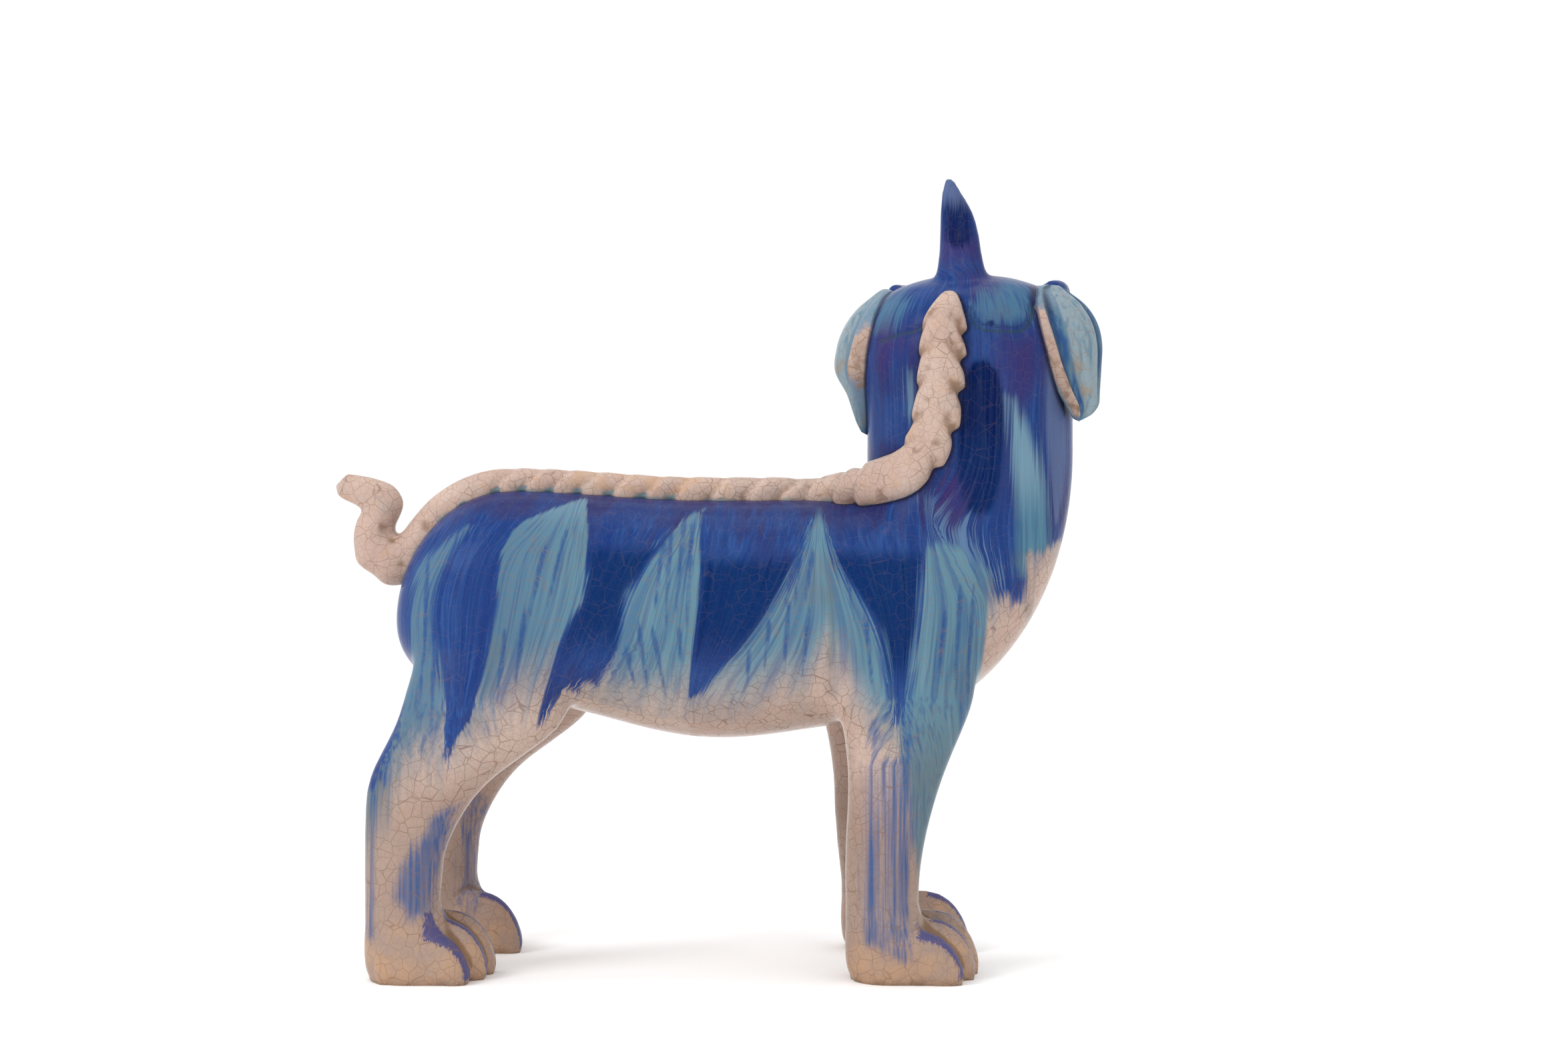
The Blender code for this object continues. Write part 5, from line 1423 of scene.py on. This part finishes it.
claw_share = frayed(start, "claw", -0.3, 0.4, (fine_hair, 2.4), (place.noise(0.5, 2.0), 1.5))
surface = surface.coats(
    (blue, blue_share * (0.88 + hair * 0.2).least(1.0)),
    (RIDGE_SHADOW, (1 - mark(start, "seam").step(0.3, 1.8)) * 0.8),
    (GROOVE_GREEN, mark(start, "groove").step(0.3, 0.9) * 0.7),
    (CLAW_BLUE, claw_share * 0.85),
    (CRACK_BROWN, net * (0.7 - wash_share * 0.2 - blue_share * 0.36)),
    (STAIN_BROWN, dirt_and_shade * (0.55 - blue_share * 0.35)),
)
roughness = dirt_and_shade * 0.2 + place.noise(0.3, 2.0) * 0.1 + 0.13
height = fine_hair * 0.4 + place.noise(0.25, 3.0) - net * 0.2
fire(skin_glaze, start, surface, roughness, height, 0.00012)
skin_mesh.materials.append(skin_glaze)


# Eyes, teeth and tongue. Balls and slips of clay, pressed in place and glazed with the rest. The iris and the
# pupil are painted, the teeth are cut from a curved band, and the tongue has a furrow down its middle.

EYE_RADIUS = 8.5
EYE_PLACE = (38.5, 17.0, 37.5)
EYE_GAZE = (0.86, 0.5, 0.1)
IRIS_SWELL = 0.05
TOOTH_ARC = math.radians(78.0)
TOOTH_THICKNESS = 1.6
ROOT_DEPTH = 2.4
GUM_DEPTH = 1.6
TOOTH_LENGTH = 2.0
FANG_LENGTH = 4.6
FURROW_DEPTH = 0.9
TONGUE_ROWS = (  # x, top, bottom, half width
    (34.0, 0.5, -5.0, 9.0),
    (44.0, 1.5, -4.6, 10.5),
    (53.0, 1.2, -3.4, 9.5),
    (59.0, 0.2, -3.0, 6.5),
)
EYE_WHITE = colour(216, 208, 196)
PUPIL = colour(12, 14, 26)


def ball(centre, radius, gaze):
    """A closed ball whose pole looks along the unit vector `gaze`, with a slight swell over the iris."""
    side = unit(np.cross(gaze, (0, 0, 1)))
    up = np.cross(side, gaze)
    rings = []
    for turn in np.radians(np.linspace(4, 176, 44)):
        swell = 1 + IRIS_SWELL * math.exp(-((turn / 0.6) ** 2))
        middle = centre + gaze * radius * swell * math.cos(turn)
        rings.append(ring(middle, side * radius * math.sin(turn), up * radius * math.sin(turn), 56))
    return lofted(rings, centre + gaze * radius * (1 + IRIS_SWELL), centre - gaze * radius)


for name, side in (("right", -1), ("left", 1)):
    centre = np.array(EYE_PLACE) * (1, side, 1)
    gaze = unit(np.array(EYE_GAZE) * (1, side, 1))
    points, faces = ball(centre, EYE_RADIUS, gaze)
    eye = mesh_object(f"{name}_glazed_eye", turned(points), faces)
    put_marks(eye.data, sight=(points - centre) @ gaze / EYE_RADIUS)
    eye_glaze, start, place = glaze(f"{name} eye glaze")
    sight = mark(start, "sight") + (place.noise(0.8, 2.0) - 0.5) * 0.05
    net = crackle(place, 3.2, 0.1)
    surface = sight.step(0.72, 0.78).between(EYE_WHITE, COBALT_DEEP).coats(
        (PUPIL, sight.step(0.86, 0.9)),
        (CRACK_BROWN, net * 0.3 * (1 - sight.step(0.7, 0.76))),
    )
    roughness = place.noise(0.4, 2.0) * 0.1 + 0.08
    fire(eye_glaze, start, surface, roughness, place.noise(0.5, 2.0) - net * 0.2, 0.00005)
    eye.data.materials.append(eye_glaze)
    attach(eye, "root")
    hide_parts(f"{name}_eye")


def tooth_band(root_z, down, arch_x, arch_half_width):
    """A curved band of teeth with a fang at each side, cut to a wavy edge."""
    rings = []
    for share in np.linspace(-1, 1, 181):
        turn = share * TOOTH_ARC
        fang = math.exp(-(((abs(share) - 0.62) / 0.09) ** 2))
        small = abs(math.cos(math.pi * share * 4.5)) ** 0.6 * (abs(share) < 0.5)
        depth = GUM_DEPTH + FANG_LENGTH * fang + TOOTH_LENGTH * small
        out = np.array([math.cos(turn), math.sin(turn), 0])
        tip, base = (-depth, ROOT_DEPTH) if down else (depth, -ROOT_DEPTH)
        centre = (20 + arch_x * out[0], arch_half_width * out[1], root_z + (tip + base) / 2)
        rings.append(ring(centre, out * TOOTH_THICKNESS, (0, 0, (base - tip) / 2), 20, 3.0))
    return lofted(rings)


tooth_glaze, start, place = glaze("tooth glaze")
surface, net, dirt_and_shade = cream_body(place, place.noise(0.3, 2.0) - 0.35, 0.1)
surface = surface.under(colour(226, 218, 204), place.noise(0.2, 1.0).step(0.3, 0.6) * 0.7)
fire(tooth_glaze, start, surface, dirt_and_shade * 0.2 + 0.15, place.noise(0.6, 2.0), 0.00006)
for name, root_z, down, arch_x, arch_half_width in (
    ("upper_teeth", 7.0, True, 39.0, 20.5),
    ("lower_teeth", -4.6, False, 34.0, 15.5),
):
    points, faces = tooth_band(root_z, down, arch_x, arch_half_width)
    band = mesh_object(f"glazed_{name}", turned(points), faces)
    band.data.materials.append(tooth_glaze)
    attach(band, "root")
    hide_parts(name)

points, faces = snout(TONGUE_ROWS, 2.0)
furrow = np.exp(-((points[:, 1] / 1.6) ** 2)) * (points[:, 2] > -1.5)
points[:, 2] -= FURROW_DEPTH * furrow
tongue = mesh_object("glazed_tongue", turned(points), faces)
tongue_glaze, start, place = glaze("tongue glaze")
surface = place.noise(0.15, 3.0).step(0.35, 0.65).between(colour(176, 112, 96), colour(148, 84, 74))
net = crackle(place, 3.4, 0.12)
surface = surface.under(CRACK_BROWN, net * 0.4)
roughness = place.noise(0.3, 2.0) * 0.12 + 0.14
fire(tongue_glaze, start, surface, roughness, place.noise(0.6, 2.0) - net * 0.2, 0.00008)
tongue.data.materials.append(tongue_glaze)
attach(tongue, "root")
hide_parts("tongue")


# Floor, light and camera. The figure stands on white paper in a white tent, lit by three soft lamps. The
# camera is level, a little lower than the figure's back, and square to its right side.

PAPER_HALF = 12.0
PAPER_LOOK = {"Base Color": (1, 1, 1, 1), "Roughness": 1.0, "Specular IOR Level": 0.0}
TENT_LOOK = {"Color": (1, 1, 1, 1), "Strength": 1.05}
floor_mesh = bpy.data.meshes.new("floor")
corners = [(x * PAPER_HALF, y * PAPER_HALF, 0) for x, y in ((-1, -1), (1, -1), (1, 1), (-1, 1))]
floor_mesh.from_pydata(corners, [], [(0, 1, 2, 3)])
floor = bpy.data.objects.new("floor", floor_mesh)
bpy.context.scene.collection.objects.link(floor)
floor_paper = bpy.data.materials.new("floor paper")
floor_paper.use_nodes = True
for name, value in PAPER_LOOK.items():
    floor_paper.node_tree.nodes["Principled BSDF"].inputs[name].default_value = value
floor_mesh.materials.append(floor_paper)

world = bpy.data.worlds.new("tent")
world.use_nodes = True
for name, value in TENT_LOOK.items():
    world.node_tree.nodes["Background"].inputs[name].default_value = value
bpy.context.scene.world = world


def soft_lamp(name, place, aim, size, watts):
    lamp = bpy.data.lights.new(name, "AREA")
    lamp.shape = "RECTANGLE"
    lamp.size, lamp.size_y = size
    lamp.energy = watts
    made = bpy.data.objects.new(name, lamp)
    made.location = place
    made.rotation_euler = (Vector(aim) - Vector(place)).to_track_quat("-Z", "Y").to_euler()
    bpy.context.scene.collection.objects.link(made)


soft_lamp("left_lamp", (-1.0, -0.8, 1.0), (0, 0, 0.15), (0.5, 0.7), 9.0)
soft_lamp("right_lamp", (1.1, -0.9, 0.6), (0, 0, 0.15), (0.5, 0.7), 1.0)
soft_lamp("top_lamp", (0.0, 0.2, 1.3), (0, 0, 0.1), (0.9, 0.6), 3.0)

CAMERA_DISTANCE = 975.0
CAMERA_HEIGHT = 168.3
CAMERA_X = 24.5
IMAGE_WIDTH = 2349
MM_PER_PIXEL = 0.2563
lens = bpy.data.cameras.new("camera")
lens.sensor_fit = "HORIZONTAL"
lens.sensor_width = 36.0
lens.lens = 36.0 * CAMERA_DISTANCE / (IMAGE_WIDTH * MM_PER_PIXEL)
camera = bpy.data.objects.new("camera", lens)
camera.location = (
    CAMERA_X / 1000 + FIGURE_PLACE[0],
    -CAMERA_DISTANCE / 1000 + FIGURE_PLACE[1],
    CAMERA_HEIGHT / 1000,
)
camera.rotation_euler = (math.pi / 2, 0, 0)
bpy.context.scene.collection.objects.link(camera)
bpy.context.scene.camera = camera
bpy.context.scene.view_settings.view_transform = "Standard"
